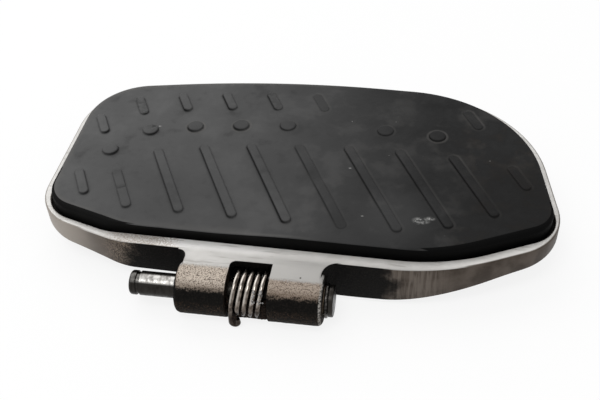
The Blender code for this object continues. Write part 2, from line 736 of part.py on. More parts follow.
def spring_path():
    """Rear leg, coil and front hook of the torsion spring, as one line of points."""
    right = Vector((1, 0, 0))
    back = Vector((0, 1, 0))
    up = Vector((0, 0, 1))
    leg_x = COIL_START * right
    elbow = leg_x + back * (COIL_RADIUS + LEG_BEND) - up * (LEG_DROP - LEG_BEND)
    path = [leg_x + back * LEG_LENGTH - up * LEG_DROP]
    path += bend(elbow, LEG_BEND, -up, -back)
    steps = round(STEPS_PER_TURN * COIL_TURNS)
    for step in range(steps + 1):
        turn = 2 * math.pi * COIL_TURNS * step / steps
        height = COIL_RADIUS * math.sin(turn)
        x = COIL_START + (COIL_END - COIL_START) * step / steps + COIL_LEAN * height
        path.append(Vector((x, COIL_RADIUS * math.cos(turn), height)))
    front = path[-1] - back * HOOK_LEAN - up * HOOK_DROP
    hook = front + right * HOOK_RADIUS
    path += bend(hook, HOOK_RADIUS, -right, -up)
    path += bend(hook, HOOK_RADIUS, -up, right)[1:]
    path.append(path[-1] + up * HOOK_TAIL)
    return path


def make_spring(look, parent):
    path = spring_path()
    curve = bpy.data.curves.new("torsion_spring", "CURVE")
    curve.dimensions = "3D"
    curve.bevel_depth = WIRE_RADIUS
    curve.bevel_resolution = 2
    curve.use_fill_caps = True
    line = curve.splines.new("POLY")
    line.points.add(len(path) - 1)
    for point, place in zip(line.points, path):
        point.co = (*place, 1.0)
    line.use_smooth = True
    curve.materials.append(look)
    spring = bpy.data.objects.new("torsion_spring", curve)
    bpy.context.scene.collection.objects.link(spring)
    spring.parent = parent


def carrier(name):
    made = bpy.data.objects.new(name, None)
    bpy.context.scene.collection.objects.link(made)
    return made


def stand_on_floor(carriers):
    """Moves both carriers so that the part stands on Z = 0 about the origin."""
    bpy.context.view_layer.update()
    graph = bpy.context.evaluated_depsgraph_get()
    points = []
    for piece in bpy.data.objects:
        if piece.type in {"MESH", "CURVE"} and not piece.hide_render:
            solid = piece.evaluated_get(graph)
            points += [solid.matrix_world @ v.co for v in solid.to_mesh().vertices]
            solid.to_mesh_clear()
    low = [min(p[axis] for p in points) for axis in range(3)]
    high = [max(p[axis] for p in points) for axis in range(3)]
    for made in carriers:
        made.location = (-(low[0] + high[0]) / 2, -(low[1] + high[1]) / 2, -low[2])
    bpy.context.view_layer.update()


def main():
    for old in list(bpy.data.objects):
        bpy.data.objects.remove(old)

    cast = material("cast_aluminium", (0.56, 0.54, 0.51), 0.38, 1.0)
    rubber = material("pad_rubber", (0.045, 0.045, 0.047), 0.62)
    zinc = material("zinc_plated_steel", (0.48, 0.47, 0.44), 0.42, 1.0)
    oily_steel = material("oily_pin_steel", (0.30, 0.29, 0.28), 0.28, 1.0)
    bronze = material("sintered_bronze", (0.36, 0.24, 0.12), 0.5, 1.0)
    spring_steel = material("spring_steel", (0.16, 0.14, 0.12), 0.32, 1.0)

    pin_carrier = carrier("pin_carrier")
    board_carrier = carrier("board_carrier")
    make_tray(cast, board_carrier)
    make_pad(rubber, board_carrier)
    make_plate(zinc, board_carrier)
    make_fixings({"weld_nut": zinc, "pad_screw": zinc, "screw_washer": zinc}, board_carrier)
    make_bushes(bronze, board_carrier)
    make_spring(spring_steel, board_carrier)
    make_pin({"hinge_pin": oily_steel, "head_washer": zinc}, pin_carrier)
    stand_on_floor((pin_carrier, board_carrier))


main()
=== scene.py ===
"""Looks of the folding floorboard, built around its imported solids.

Shapes are laid out in the hinge frame, as the solids are: X runs along the hinge pin, Y away
from the hinge across the board, Z up, with zero on the pin's axis halfway between the
knuckles' outer faces. Each piece's origin is that point, so its materials read the same frame.
"""
import json
import math
import random
from dataclasses import dataclass

import bmesh
import bpy
from mathutils import Euler, Matrix, Vector, noise
from mathutils.geometry import delaunay_2d_cdt


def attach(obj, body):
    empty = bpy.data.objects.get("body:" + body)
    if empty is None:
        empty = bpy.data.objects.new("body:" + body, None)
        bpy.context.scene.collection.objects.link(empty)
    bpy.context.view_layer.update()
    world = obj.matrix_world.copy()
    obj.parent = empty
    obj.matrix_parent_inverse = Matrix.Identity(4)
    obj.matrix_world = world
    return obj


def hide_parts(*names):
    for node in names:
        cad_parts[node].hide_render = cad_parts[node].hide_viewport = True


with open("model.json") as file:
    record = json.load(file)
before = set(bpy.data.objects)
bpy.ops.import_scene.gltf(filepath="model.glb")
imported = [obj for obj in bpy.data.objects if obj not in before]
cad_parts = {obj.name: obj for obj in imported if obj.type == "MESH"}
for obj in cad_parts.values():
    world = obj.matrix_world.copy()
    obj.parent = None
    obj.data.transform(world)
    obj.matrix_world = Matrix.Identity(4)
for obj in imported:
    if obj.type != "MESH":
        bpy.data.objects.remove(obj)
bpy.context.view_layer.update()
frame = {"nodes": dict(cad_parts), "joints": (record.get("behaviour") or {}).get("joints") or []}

MM = 0.001


def mm(*sizes):
    return tuple(size * MM for size in sizes)


HINGE = Vector(frame["joints"][0]["pos_m"])

# Camera, as the photograph was taken, from the hinge
CAMERA_PLACE = Vector(mm(81.22, -276.79, 324.76))
CAMERA_TURN = (47.197, 2.246, 9.141)
CAMERA_LENS = 54.0

# Clearances
SEAT_GAP = 0.3 * MM
RUN_GAP = 0.15 * MM

# Board outline, the mouth of the pad recess: corner x, corner y, corner radius
RECESS_CORNERS = (
    mm(-114.7, 32.1, 20.7),
    mm(-77.6, 20.8, 36.8),
    mm(90.7, 18.0, 94.8),
    mm(144.7, 43.8, 17.8),
    mm(127.3, 145.0, 74.4),
    mm(-10.1, 150.7, 567.8),
    mm(-115.3, 132.2, 34.7),
)
ARC_STEPS = (14, 12, 18, 14, 30, 26, 20)
EDGE_STEPS = (6, 26, 8, 16, 14, 16, 16)
RIM_WIDTHS = mm(3.7, 6.3, 5.0, 3.2, 4.9, 4.9, 4.3)
RIM_RADII = mm(29.0, 50.0, 117.0, 30.0, 72.0, 547.0, 39.0)
# How far the rounding of the rim's outer edge reaches inwards, beside each edge
RIM_ROUND = mm(1.0, 0.9, 0.9, 1.3, 2.6, 1.2, 1.2)
RIM_ROUND_DROP = 1.0 * MM
MOUTH_ROUND = 0.5 * MM

# Tray casting
RECESS_DEPTH = 2.5 * MM
FLOOR_THICKNESS = 2.8 * MM
SKIRT_WALL = 5.0 * MM
SIDE_DEPTH = 9.5 * MM
HINGE_DEPTH = 20.0 * MM
DEPTH_FADE = 12.0 * MM
SWELL_DEPTH = 3.4 * MM
SWELL_PLACE = 40.0 * MM
SWELL_REACH = 45.0 * MM
INNER_FILLET = 1.6 * MM
LOWER_ROUND = 0.9 * MM
KNUCKLE_RADIUS = 12.5 * MM
KNUCKLE_SPAN = 71.2 * MM
KNUCKLE_EDGE_RADIUS = 2.4 * MM
TONGUE_INSET = 1.8 * MM
TONGUE_ROOT = 22.0 * MM
TONGUE_HEEL = 1.0 * MM
TONGUE_ROUND = 1.1 * MM
FILLET_LEFT = 4.0 * MM
FILLET_RIGHT = 8.0 * MM
SLOT_LEFT = -10.6 * MM
SLOT_RIGHT = 9.8 * MM
SLOT_CORNER = 3.0 * MM
SLOT_BACK = 12.05 * MM
LIP_SETBACK = 3.45 * MM
LIP_THICKNESS = 3.7 * MM
RIB_PLACES = mm(-77.0, -30.0, 30.0, 87.0)
RIB_WIDTH = 4.0 * MM
RIB_HEIGHT = 3.0 * MM
RIB_GUSSET = 34.0 * MM
RIB_STEP_UP = 1.5 * MM
CAST_ROUGHNESS = 0.11 * MM     # how far the sand-cast face wanders

# Hinge pin, washer, bushes
PIN_RADIUS = 6.0 * MM
PIN_TIP = -59.5 * MM
PIN_HEAD_RADIUS = 7.7 * MM
PIN_HEAD_THICKNESS = 2.4 * MM
PIN_CHAMFER = 1.2 * MM
GROOVE_INSET = 3.4 * MM
GROOVE_WIDTH = 1.5 * MM
GROOVE_DEPTH = 0.7 * MM
HEAD_WASHER_RADIUS = 8.4 * MM
HEAD_WASHER_THICKNESS = 1.2 * MM
BUSH_WALL = 1.0 * MM
BUSH_PROUD = 0.5 * MM
EDGE_BREAK = 0.25 * MM         # small rounding on turned and stamped steel

# Torsion spring
WIRE_RADIUS = 1.4 * MM
COIL_RADIUS = 10.1 * MM
COIL_TURNS = 4.5
COIL_START = 6.8 * MM
COIL_END = -8.05 * MM
COIL_LEAN = 0.12
COIL_STEPS = 56                # per turn
LEG_BEND = 2.5 * MM
LEG_DROP = 5.5 * MM
LEG_LENGTH = 20.0 * MM
LEG_CHANNEL = 3.6 * MM
HOOK_RADIUS = 1.6 * MM
HOOK_DROP = 9.0 * MM
HOOK_LEAN = 0.95 * MM
HOOK_TAIL = 2.4 * MM
WIRE_SIDES = 20
# Caked dirt between pin and coil: from which angle to which, from the top towards the front,
# its faces along the pin and around it, and its reach
DIRT_TURN = (math.radians(62), math.radians(205))
DIRT_FACES = (44, 60)
DIRT_INNER = 7.6 * MM
DIRT_REACH = 1.9 * MM
DIRT_LOWER = 2.3 * MM          # how much further it reaches below the pin
# Grease crumbs: their number, degrees from the top, places along the pin and radii, both in mm
CRUMBS = 34
CRUMB_TURN = (32, 66)
CRUMB_PLACES = (2.6, 3.4, 6.2, 7.4)
CRUMB_SIZES = (0.16, 0.48)

# Rubber pad
PAD_GAP = 1.5 * MM
PAD_PROUD = 6.2 * MM
PAD_EDGES = mm(3.3, 1.0, 3.8, 1.5, 1.4, 1.4, 1.4)
PAD_EDGE_SLOPE = 0.62
PAD_EDGE_RINGS = 7
PAD_WALL_RINGS = 4             # of them, how many take the wall's rubber, painted darker as shade
PAD_BULGE = 1.5 * MM           # how far the near edge has spread, left of the middle
# The two short sloping edges have Y below the first value and X outside the other two
SLOPES_BELOW = 60.0 * MM
SLOPES_BESIDE = mm(-68.0, 82.0)
# Points of the pad's top: their spacing, the share of it between rows, and how far they keep
# from the pad's edge, from that edge's own points and from a bar's foot
PAD_GRID = 2.4 * MM
PAD_GRID_ROWS = 0.866
CLEAR_OF_EDGE = 0.9 * MM
CLEAR_OF_POINTS = 1.1 * MM
CLEAR_OF_FOOT = 0.7 * MM
PAD_WAVE = 0.16 * MM           # how far the pad's worn top wanders
ROW_ANGLE = math.radians(27.7)
ROW_PITCH = 27.1 * MM
ROW_ORIGIN = mm(0.8, 106.3)
RELIEF = 1.3 * MM
PILL_WIDTH = 4.9 * MM
DOT_RADIUS = 4.3 * MM
SHORT_PILL = mm(11.4, 28.4)
DOT_PLACE = 43.9 * MM
LONG_PILL_START = 61.4 * MM
ROW_SETBACKS = {2: 0.6 * MM, 3: 1.7 * MM, 4: 1.3 * MM}
LONG_PILL_MARGIN = 11.5 * MM
WIDER_MARGINS = {1: 12.6 * MM, 2: 13.9 * MM, 3: 14.6 * MM, 4: 23.1 * MM}
CORNER_ROW = -129.5 * MM
CORNER_PILL = mm(22.4, 16.3)
# Relief left on the worn shapes, by row, and the rows where they are gone
SHORT_RELIEF = {-3: 0.85, -1: 0.9, 0: 0.75, 1: 0.22, 4: 0.3}
DOT_RELIEF = {0: 0.7, 2: 0.55, 3: 0.75}
LONG_RELIEF = {-4: 0.8, 0: 0.55, 1: 0.75, 2: 0.75, 3: 0.8, 4: 0.6}
GONE_SHORT = (2, 3)
GONE_DOTS = (1, 4)

# Backing plate and fixings
PLATE_THICKNESS = 2.0 * MM
FIXINGS = (mm(-92.0, 104.0), mm(-56.0, 48.0), mm(8.0, 88.0),
           mm(66.0, 48.0), mm(108.0, 104.0))
SCREW_RADIUS = 3.0 * MM
SCREW_HEAD_RADIUS = 5.6 * MM
SCREW_HEAD_HEIGHT = 2.6 * MM
SCREW_SOCKET_RADIUS = 2.3 * MM
SCREW_SOCKET_DEPTH = 1.6 * MM
HOLE_CLEARANCE = 0.4 * MM
WASHER_RADIUS = 6.4 * MM
WASHER_THICKNESS = 1.0 * MM
NUT_HEIGHT = 3.2 * MM

TURNED_SEGMENTS = 112
SCREW_SEGMENTS = 48
CUT_MARGIN = 10.0 * MM
WELD = 0.004 * MM              # points closer than this are one
SHARP_ANGLE = math.radians(32)

# Heights and faces that follow
RIM_TOP = KNUCKLE_RADIUS
FLOOR_TOP = RIM_TOP - RECESS_DEPTH
FLOOR_UNDERSIDE = FLOOR_TOP - FLOOR_THICKNESS
PLATE_BOTTOM = FLOOR_TOP + SEAT_GAP
NUT_TOP = PLATE_BOTTOM + PLATE_THICKNESS + SEAT_GAP + NUT_HEIGHT
PAD_TOP = RIM_TOP + PAD_PROUD
WASHER_TOP = FLOOR_UNDERSIDE - SEAT_GAP
SCREW_HEAD_TOP = WASHER_TOP - WASHER_THICKNESS - SEAT_GAP
SCREW_HEAD_BOTTOM = SCREW_HEAD_TOP - SCREW_HEAD_HEIGHT
BUSH_BORE = PIN_RADIUS + RUN_GAP
BUSH_RADIUS = BUSH_BORE + BUSH_WALL
KNUCKLE_BORE = BUSH_RADIUS + SEAT_GAP
KNUCKLE_FACE = KNUCKLE_SPAN / 2
HEAD_WASHER_FACE = KNUCKLE_FACE + BUSH_PROUD + SEAT_GAP
PIN_HEAD_FACE = HEAD_WASHER_FACE + HEAD_WASHER_THICKNESS + SEAT_GAP


# Outlines

def cross(a, b):
    return a.x * b.y - a.y * b.x


def corner_offsets(corners, distances):
    """Moves the edges of a convex outline outwards, each by its own distance or all by one."""
    count = len(corners)
    if isinstance(distances, float):
        distances = [distances] * count
    points = [Vector(c[:2]) for c in corners]
    normals = []
    for i in range(count):
        along = (points[(i + 1) % count] - points[i]).normalized()
        normals.append(Vector((along.y, -along.x)))
    moved = []
    for i, corner in enumerate(corners):
        before, after = normals[i - 1], normals[i]
        d_before, d_after = distances[i - 1], distances[i]
        turn = cross(before, after)
        x = points[i].x + (d_before * after.y - d_after * before.y) / turn
        y = points[i].y + (d_after * before.x - d_before * after.x) / turn
        moved.append((x, y, corner[2] + (d_before + d_after) / 2))
    return moved


def rounded_outline(corners, distances=0.0):
    """Points of a convex outline with arcs for corners and even steps along its edges."""
    corners = corner_offsets(corners, distances)
    arcs = []
    count = len(corners)
    for i, ((x, y, radius), steps) in enumerate(zip(corners, ARC_STEPS)):
        here = Vector((x, y))
        to_last = (Vector(corners[i - 1][:2]) - here).normalized()
        to_next = (Vector(corners[(i + 1) % count][:2]) - here).normalized()
        half = to_last.angle(to_next) / 2
        centre = here + (to_last + to_next).normalized() * radius / math.sin(half)
        start = here + to_last * radius / math.tan(half) - centre
        sweep = math.pi - 2 * half
        arcs.append([centre + Matrix.Rotation(sweep * step / steps, 2) @ start
                     for step in range(steps + 1)])
    points = []
    for i, arc in enumerate(arcs):
        first = arcs[(i + 1) % count][0]
        points += arc
        points += [arc[-1].lerp(first, step / EDGE_STEPS[i]) for step in range(1, EDGE_STEPS[i])]
    return points


def crossings(outline, origin, along):
    """Distances along a line at which it enters and leaves an outline."""
    found = []
    for i, a in enumerate(outline):
        edge = outline[(i + 1) % len(outline)] - a
        turn = cross(along, edge)
        if abs(turn) > 1e-12 and 0 <= cross(a - origin, along) / turn < 1:
            found.append(cross(a - origin, edge) / turn)
    return min(found), max(found)


def circle(radius, centre=(0.0, 0.0)):
    step = 2 * math.pi / SCREW_SEGMENTS
    return [Vector((centre[0] + radius * math.cos(step * i),
                    centre[1] + radius * math.sin(step * i))) for i in range(SCREW_SEGMENTS)]


def hexagon(across_flats):
    """A hexagon with its points spread evenly round, so that it can face a circle."""
    points = []
    for i in range(SCREW_SEGMENTS):
        angle = 2 * math.pi * i / SCREW_SEGMENTS
        off_flat = (angle + math.pi / 6) % (math.pi / 3) - math.pi / 6
        radius = across_flats / 2 / math.cos(off_flat)
        points.append(Vector((radius * math.cos(angle), radius * math.sin(angle))))
    return points


def quarter(steps):
    """Sine and one minus cosine over a quarter turn, for a rounded edge."""
    angles = [math.pi / 2 * step / steps for step in range(steps + 1)]
    return [(math.sin(a), 1 - math.cos(a)) for a in angles]


def smooth(value, low, high):
    share = min(1.0, max(0.0, (value - low) / (high - low)))
    return share * share * (3 - 2 * share)


def hump(value, middle, reach):
    return math.exp(-((value - middle) / reach) ** 2)


# Stacks of rings

def level(outline, height):
    return [(p.x, p.y, height) for p in outline]


def prism(outline, low, high):
    return [level(outline, low), level(outline, high)]


def side_prism(outline, left, right):
    """An outline in the YZ plane, run along X."""
    return [[(x, p[0], p[1]) for p in outline] for x in (left, right)]


def turned(profile):
    """Rings about the X axis, one for each (x, radius) point, with a flat facing up."""
    angles = [2 * math.pi * (i + 0.5) / TURNED_SEGMENTS for i in range(TURNED_SEGMENTS)]
    return [[(x, radius * math.sin(angle), radius * math.cos(angle)) for angle in angles]
            for x, radius in profile]


# Meshes

def bridge(bm, low, high):
    """Faces between two rings with equal point counts."""
    for i in range(len(low)):
        j = (i + 1) % len(low)
        bm.faces.new((low[i], low[j], high[j], high[i]))


def skin(*stacks, looped=False):
    """A body of stacks of rings, each capped, or joined from its last ring to its first."""
    bm = bmesh.new()
    for rings in stacks:
        made = [[bm.verts.new(point) for point in ring] for ring in rings]
        for low, high in zip(made, made[1:]):
            bridge(bm, low, high)
        if looped:
            bridge(bm, made[-1], made[0])
        else:
            bm.faces.new(made[0][::-1])
            bm.faces.new(made[-1])
    return bm


def mesh_object(name, bm):
    bmesh.ops.recalc_face_normals(bm, faces=bm.faces)
    mesh = bpy.data.meshes.new(name)
    bm.to_mesh(mesh)
    bm.free()
    made = bpy.data.objects.new(name, mesh)
    bpy.context.scene.collection.objects.link(made)
    return made


def finish_piece(piece, look, body, slot, *nodes):
    """Shades a piece, sets it in place on its body and hides the solids it replaces."""
    for each in look if isinstance(look, list) else [look]:
        piece.data.materials.append(each)
    piece.data.shade_smooth()
    piece.data.set_sharp_from_angle(angle=SHARP_ANGLE)
    piece.location = HINGE
    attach(piece, body)
    if nodes:
        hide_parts(*nodes)


def combine(target, bm, operation):
    """Joins a body to the target, or cuts it away, and leaves a plain mesh."""
    tool = mesh_object("tool", bm)
    step = target.modifiers.new("step", "BOOLEAN")
    step.operation = operation
    step.solver = "EXACT"
    step.object = tool
    bpy.context.view_layer.update()
    graph = bpy.context.evaluated_depsgraph_get()
    done = bpy.data.meshes.new_from_object(target.evaluated_get(graph))
    target.modifiers.clear()
    target.data = done
    bpy.data.objects.remove(tool)
    bm = bmesh.new()
    bm.from_mesh(done)
    bmesh.ops.remove_doubles(bm, verts=bm.verts, dist=WELD)
    bmesh.ops.dissolve_degenerate(bm, edges=bm.edges, dist=WELD)
    bm.to_mesh(done)
    bm.free()


def shared(bm, other):
    """What two bodies have in common, as a body."""
    piece = mesh_object("shared", bm)
    combine(piece, other, "INTERSECT")
    bm = bmesh.new()
    bm.from_mesh(piece.data)
    bpy.data.objects.remove(piece)
    return bm


# Outlines that the pieces share

RECESS = rounded_outline(RECESS_CORNERS)
RIM_CORNERS = [(x, y, radius) for (x, y, _), radius
               in zip(corner_offsets(RECESS_CORNERS, RIM_WIDTHS), RIM_RADII)]
RIM = rounded_outline(RIM_CORNERS)
PAD_CORNERS = corner_offsets(RECESS_CORNERS, -PAD_GAP)
PAD = rounded_outline(PAD_CORNERS)
NEAREST_RIM = min(p.y for p in RIM)


def skirt_bottom(x, y):
    """Height of the skirt's lower edge: deep beside the hinge, shallow elsewhere."""
    fade = math.exp(-(y - NEAREST_RIM) / DEPTH_FADE)
    swell = SWELL_DEPTH * hump(x, SWELL_PLACE, SWELL_REACH)
    return RIM_TOP - SIDE_DEPTH - (HINGE_DEPTH - SIDE_DEPTH + swell) * fade


# Materials

class Value:
    """A number that a material's nodes make."""

    def __init__(self, tree, socket):
        self.tree = tree
        self.socket = socket

    def math(self, operation, other=0.0):
        node = self.tree.add("Math", self, other, operation=operation)
        return Value(self.tree, node.outputs[0])

    def __add__(self, other):
        return self.math("ADD", other)

    def __sub__(self, other):
        return self.math("SUBTRACT", other)

    def __mul__(self, other):
        return self.math("MULTIPLY", other)

    def __or__(self, other):
        """The larger of two masks."""
        return self.math("MAXIMUM", other)

    def rise(self, low, high, start=0.0, end=1.0):
        """Runs smoothly from start to end while the value goes from low to high."""
        node = self.tree.add("MapRange", self, low, high, start, end,
                             interpolation_type="SMOOTHSTEP")
        return Value(self.tree, node.outputs[0])


class Tree:
    """The nodes of a material or of the world."""

    def __init__(self, owner):
        owner.use_nodes = True
        self.owner = owner
        self.nodes = owner.node_tree.nodes

    def put(self, socket, value):
        """Links what makes a value to a socket, or writes a plain value there."""
        if isinstance(value, Value):
            value = value.socket
        if isinstance(value, bpy.types.Node):
            value = value.outputs[0]
        if isinstance(value, bpy.types.NodeSocket):
            self.owner.node_tree.links.new(value, socket)
        elif socket.type == "RGBA":
            socket.default_value = (*value, 1.0)
        else:
            socket.default_value = value

    def add(self, kind, *values, **options):
        """Makes a node, sets its options, and puts values in its first sockets."""
        node = self.nodes.new("ShaderNode" + kind)
        for name, option in options.items():
            setattr(node, name, option)
        for socket, value in zip(node.inputs, values):
            if value is not None:
                self.put(socket, value)
        return node

    def background_rays(self):
        """One for rays that show the background: seen, mirrored or refracted."""
        path = self.add("LightPath")
        seen, mirrored, refracted = (Value(self, path.outputs[name]) for name in (
            "Is Camera Ray", "Is Glossy Ray", "Is Transmission Ray"))
        return seen | mirrored | refracted


class Look(Tree):
    """A Principled material whose textures are read in the piece's own frame, in mm."""

    def __init__(self, name, colour, roughness, metallic=0.0, specular=0.5):
        self.material = bpy.data.materials.new(name)
        super().__init__(self.material)
        self.shader = self.nodes["Principled BSDF"]
        self.place = self.add("TexCoord")
        self.set("Base Color", colour)
        self.set("Roughness", roughness)
        self.set("Metallic", metallic)
        self.set("Specular IOR Level", specular)

    def set(self, name, value):
        self.put(self.shader.inputs[name], value)

    def position(self):
        split = self.add("SeparateXYZ", self.place.outputs["Object"])
        return [Value(self, socket) * 1000.0 for socket in split.outputs]

    def facing(self):
        """How far the surface faces to the right, away from the hinge and up."""
        split = self.add("SeparateXYZ", self.place.outputs["Normal"])
        return [Value(self, socket) for socket in split.outputs]

    def mapped(self, place, scale=(1.0, 1.0, 1.0), kind="POINT"):
        return self.add("Mapping", self.place.outputs["Object"], place, None, scale,
                        vector_type=kind)

    def noise(self, size, detail=3.0, stretch=(1.0, 1.0, 1.0), shift=0.0, rough=0.55):
        """Noise whose features are about the given size, drawn out by stretch."""
        vector = self.mapped((shift, shift * 0.7, -shift), [1.0 / s for s in stretch])
        node = self.add("TexNoise", vector, None, 1.0 / (size * MM), detail, rough)
        return Value(self, node.outputs[0])

    def spots(self, size, reach, shift=0.0):
        """Small round spots, one to a cell, each as wide as that share of the cell."""
        vector = self.mapped((shift, shift, shift))
        node = self.add("TexVoronoi", vector, None, 1.0 / (size * MM))
        return Value(self, node.outputs["Distance"]).rise(reach * 0.55, reach, 1.0, 0.0)

    def near(self, x, y, inner, outer, squash=(1.0, 1.0, 1.0)):
        """A soft patch about a point of the pad's top, full inside inner and gone at outer."""
        vector = self.mapped((x * MM, y * MM, PAD_TOP), squash, "TEXTURE")
        length = self.add("VectorMath", vector, operation="LENGTH").outputs["Value"]
        return Value(self, length).rise(inner * MM, outer * MM, 1.0, 0.0)

    def attribute(self, name):
        return Value(self, self.add("Attribute", attribute_name=name).outputs["Fac"])

    def mix(self, factor, first, second):
        """Blends two colours."""
        return self.add("Mix", factor, None, None, None, None, None, first, second,
                        data_type="RGBA").outputs[2]

    def cover(self, colour, *layers):
        """Lays colours over the first one, each where its mask is."""
        for mask, over in layers:
            colour = self.mix(mask, colour, over)
        return colour

    def blend(self, factor, first, second):
        """Blends two numbers."""
        return Value(self, self.add("Mix", factor, None, first, second).outputs[0])

    def bump(self, *layers, edge=0.0):
        """Stacks height layers, each a value and its depth, on a softened edge."""
        normal = self.add("Bevel", edge * MM) if edge else None
        for value, depth in layers:
            node = self.add("Bump")
            self.put(node.inputs["Distance"], depth * MM)
            self.put(node.inputs["Height"], value)
            if normal is not None:
                self.put(node.inputs["Normal"], normal)
            normal = node
        self.set("Normal", normal)


def grey(value):
    return (value, value, value)


def cast_metal():
    """Satin cast aluminium: bright worn top, brown-grey skirt, sandy knuckles, with painted
    highlights and shade, and near black below, beside and under the hinge from soot and painted
    shade.
    """
    look = Look("cast_aluminium", (0.6, 0.58, 0.55), 0.4, metallic=1.0, specular=0.08)
    x, y, z = look.position()
    right, _, up = look.facing()
    sideways = right.math("ABSOLUTE")
    cloud = look.noise(9, 4)
    fine = look.noise(0.6, 4, shift=0.3, rough=0.8)
    grit = look.noise(0.9, 4, shift=0.7, rough=0.7)
    scratch = look.noise(1.3, 3, stretch=(14.0, 1.0, 1.0), shift=0.1)
    streak = look.noise(1.1, 3, stretch=(1.0, 1.0, 16.0), shift=0.2)

    near_side = x.rise(106, 94) * x.rise(-96, -84) * y.rise(40, 30)
    # Faces turned up take the satin colour and the sides the much darker wall colour: the skirt's
    # own cast tone and dirt, together with painted shade
    top = look.blend(near_side, up.rise(0.72, 0.94), up.rise(0.25, 0.60)) * z.rise(9.0, 11.3)
    # Painted shade on the rim's rounded outer edge, where it turns away from the top, except on the
    # near side
    rounding = up.rise(0.985, 0.93) * near_side.rise(0.6, 0.2)
    satin = look.cover(
        look.mix(cloud.rise(0.3, 0.7), (0.60, 0.585, 0.56), (0.70, 0.685, 0.66)),
        (y.rise(17, 11) * x.rise(-45, 30, 0.28, 0.92), (0.36, 0.35, 0.335)),
        # Painted highlight: the rim's top beside the pad, left of the middle, lifted almost to white
        (y.rise(12, 17) * x.rise(-52, -42) * x.rise(24, -22), (0.93, 0.92, 0.90)),
        (scratch.rise(0.60, 0.70, 0.0, 0.45), (0.26, 0.24, 0.22)),
        (look.spots(6, 0.10) * look.noise(14).rise(0.45, 0.6), (0.05, 0.045, 0.04)),
        (rounding * 0.75, (0.27, 0.245, 0.22)))

    outside = up.rise(-0.75, -0.35)
    ground = streak.rise(0.42, 0.60, 0.0, 0.6) * x.rise(50, 60) * x.rise(96, 82) * outside
    wall = look.cover(
        look.mix(cloud.rise(0.3, 0.7), (0.050, 0.039, 0.031), (0.100, 0.082, 0.068)),
        (ground, (0.17, 0.145, 0.124)),
        # Painted shade with dirt: the skirt paler at the far left and darker towards the hinge
        (x.rise(-105, -70, 0.9, 0.0) * outside, (0.40, 0.36, 0.32)))

    sand = look.cover(
        look.mix(fine.rise(0.40, 0.52), (0.05, 0.034, 0.024), (0.70, 0.61, 0.52)),
        # Painted shade: the sand darker as the knuckle turns down from its top
        (up.rise(0.94, 0.72, 0.0, 0.75), (0.085, 0.058, 0.040)),
        (x.rise(-5, 10, 0.08, 0.50), (0.16, 0.112, 0.08)))
    ragged = y + (grit - 0.5) * 5
    sanded = (ragged - x.rise(-5, 10, 3.4, -1.2)).rise(1.3, -1.0)

    # Painted shade and reflection, with soot: the knuckles' lower front, the upright faces beside
    # the hinge, the recess floor in the gap round the pad and the faces turned down are near black
    low_edge = look.blend(0.36, up, look.blend(0.75, cloud, fine))
    below = y.rise(4.5, 2.0) * low_edge.rise(0.690, 0.605)
    clouded = look.blend(0.2, x, cloud * 100)
    beside = (clouded.rise(-51, -37) * clouded.rise(67, 59) * up.rise(0.80, 0.55)
              * y.rise(30, 24) * (y.rise(0.5, 3.0) | sideways.rise(0.75, 0.95)))
    inside = z.rise(11.4, 10.2) * up.rise(0.2, 0.6) * y.rise(12, 14)
    under = up.rise(-0.15, -0.6) * y.rise(34, 16)
    # All of the hinge's painted shade, with its soot
    black = below | beside | inside | under
    soot_and_shade = look.mix(grit.rise(0.45, 0.7), (0.0014, 0.0013, 0.0012), (0.011, 0.0092, 0.0075))

    grain = x.rise(-84, -66) * x.rise(-36, -44) * y.rise(26, 20) * grit.rise(0.42, 0.60)
    rust = sanded * up.rise(0.34, 0.10) * fine.rise(0.53, 0.60)
    # Worn bright edge round the right knuckle's end, partly a painted highlight where its rounding
    # catches the light
    worn_end_and_highlight = (sideways.rise(0.25, 0.5) * sideways.rise(0.92, 0.75) * y.rise(1, -1)
                * x.rise(30, 33) * grit.rise(0.42, 0.56))
    look.set("Base Color", look.cover(
        look.mix(top, wall, satin), (grain * 0.75, (0.36, 0.29, 0.23)), (sanded, sand),
        (black * 0.99, soot_and_shade), (rust * 0.3, (0.20, 0.125, 0.08)),
        (worn_end_and_highlight * 0.8, (0.55, 0.52, 0.48))))
    look.set("Metallic", look.blend(black | sanded * 0.55, look.blend(top, 0.62, 0.30), 0.05))
    rough = look.blend(top, 0.50, scratch.rise(0.35, 0.7, 0.40, 0.50))
    look.set("Roughness", look.blend(sanded | black, rough, 0.66))
    look.bump((scratch, 0.03), (fine * sanded, 0.35), (grit * black, 0.35), edge=0.5)
    return look.material


# Small pale marks on the pad: x, y, full radius and outer radius in mm
PALE_MARKS = ((77.5, 40.0, 0.6, 3.2), (82.0, 42.0, 0.2, 1.8), (38.8, 75.0, 0.1, 0.7),
              (48.9, 40.0, 0.1, 0.6), (-70.1, 98.4, 0.1, 0.8))


def rubber_wall():
    """The pad's rubber on its wall and short sloping edges, painted far darker than the top as
    shade, and darker towards the right.
    """
    look = Look("pad_rubber_wall", grey(0.02), 0.62, specular=0.05)
    x, _, _ = look.position()
    colour = look.mix(x.rise(-20, 80), (0.0085, 0.0083, 0.0080), grey(0.0018))
    look.set("Base Color", look.mix(look.noise(26, 4), grey(0.0015), colour))
    look.bump((look.noise(9, 4, shift=0.4), 0.3), (look.noise(0.8, 3, shift=0.2), 0.05))
    return look.material


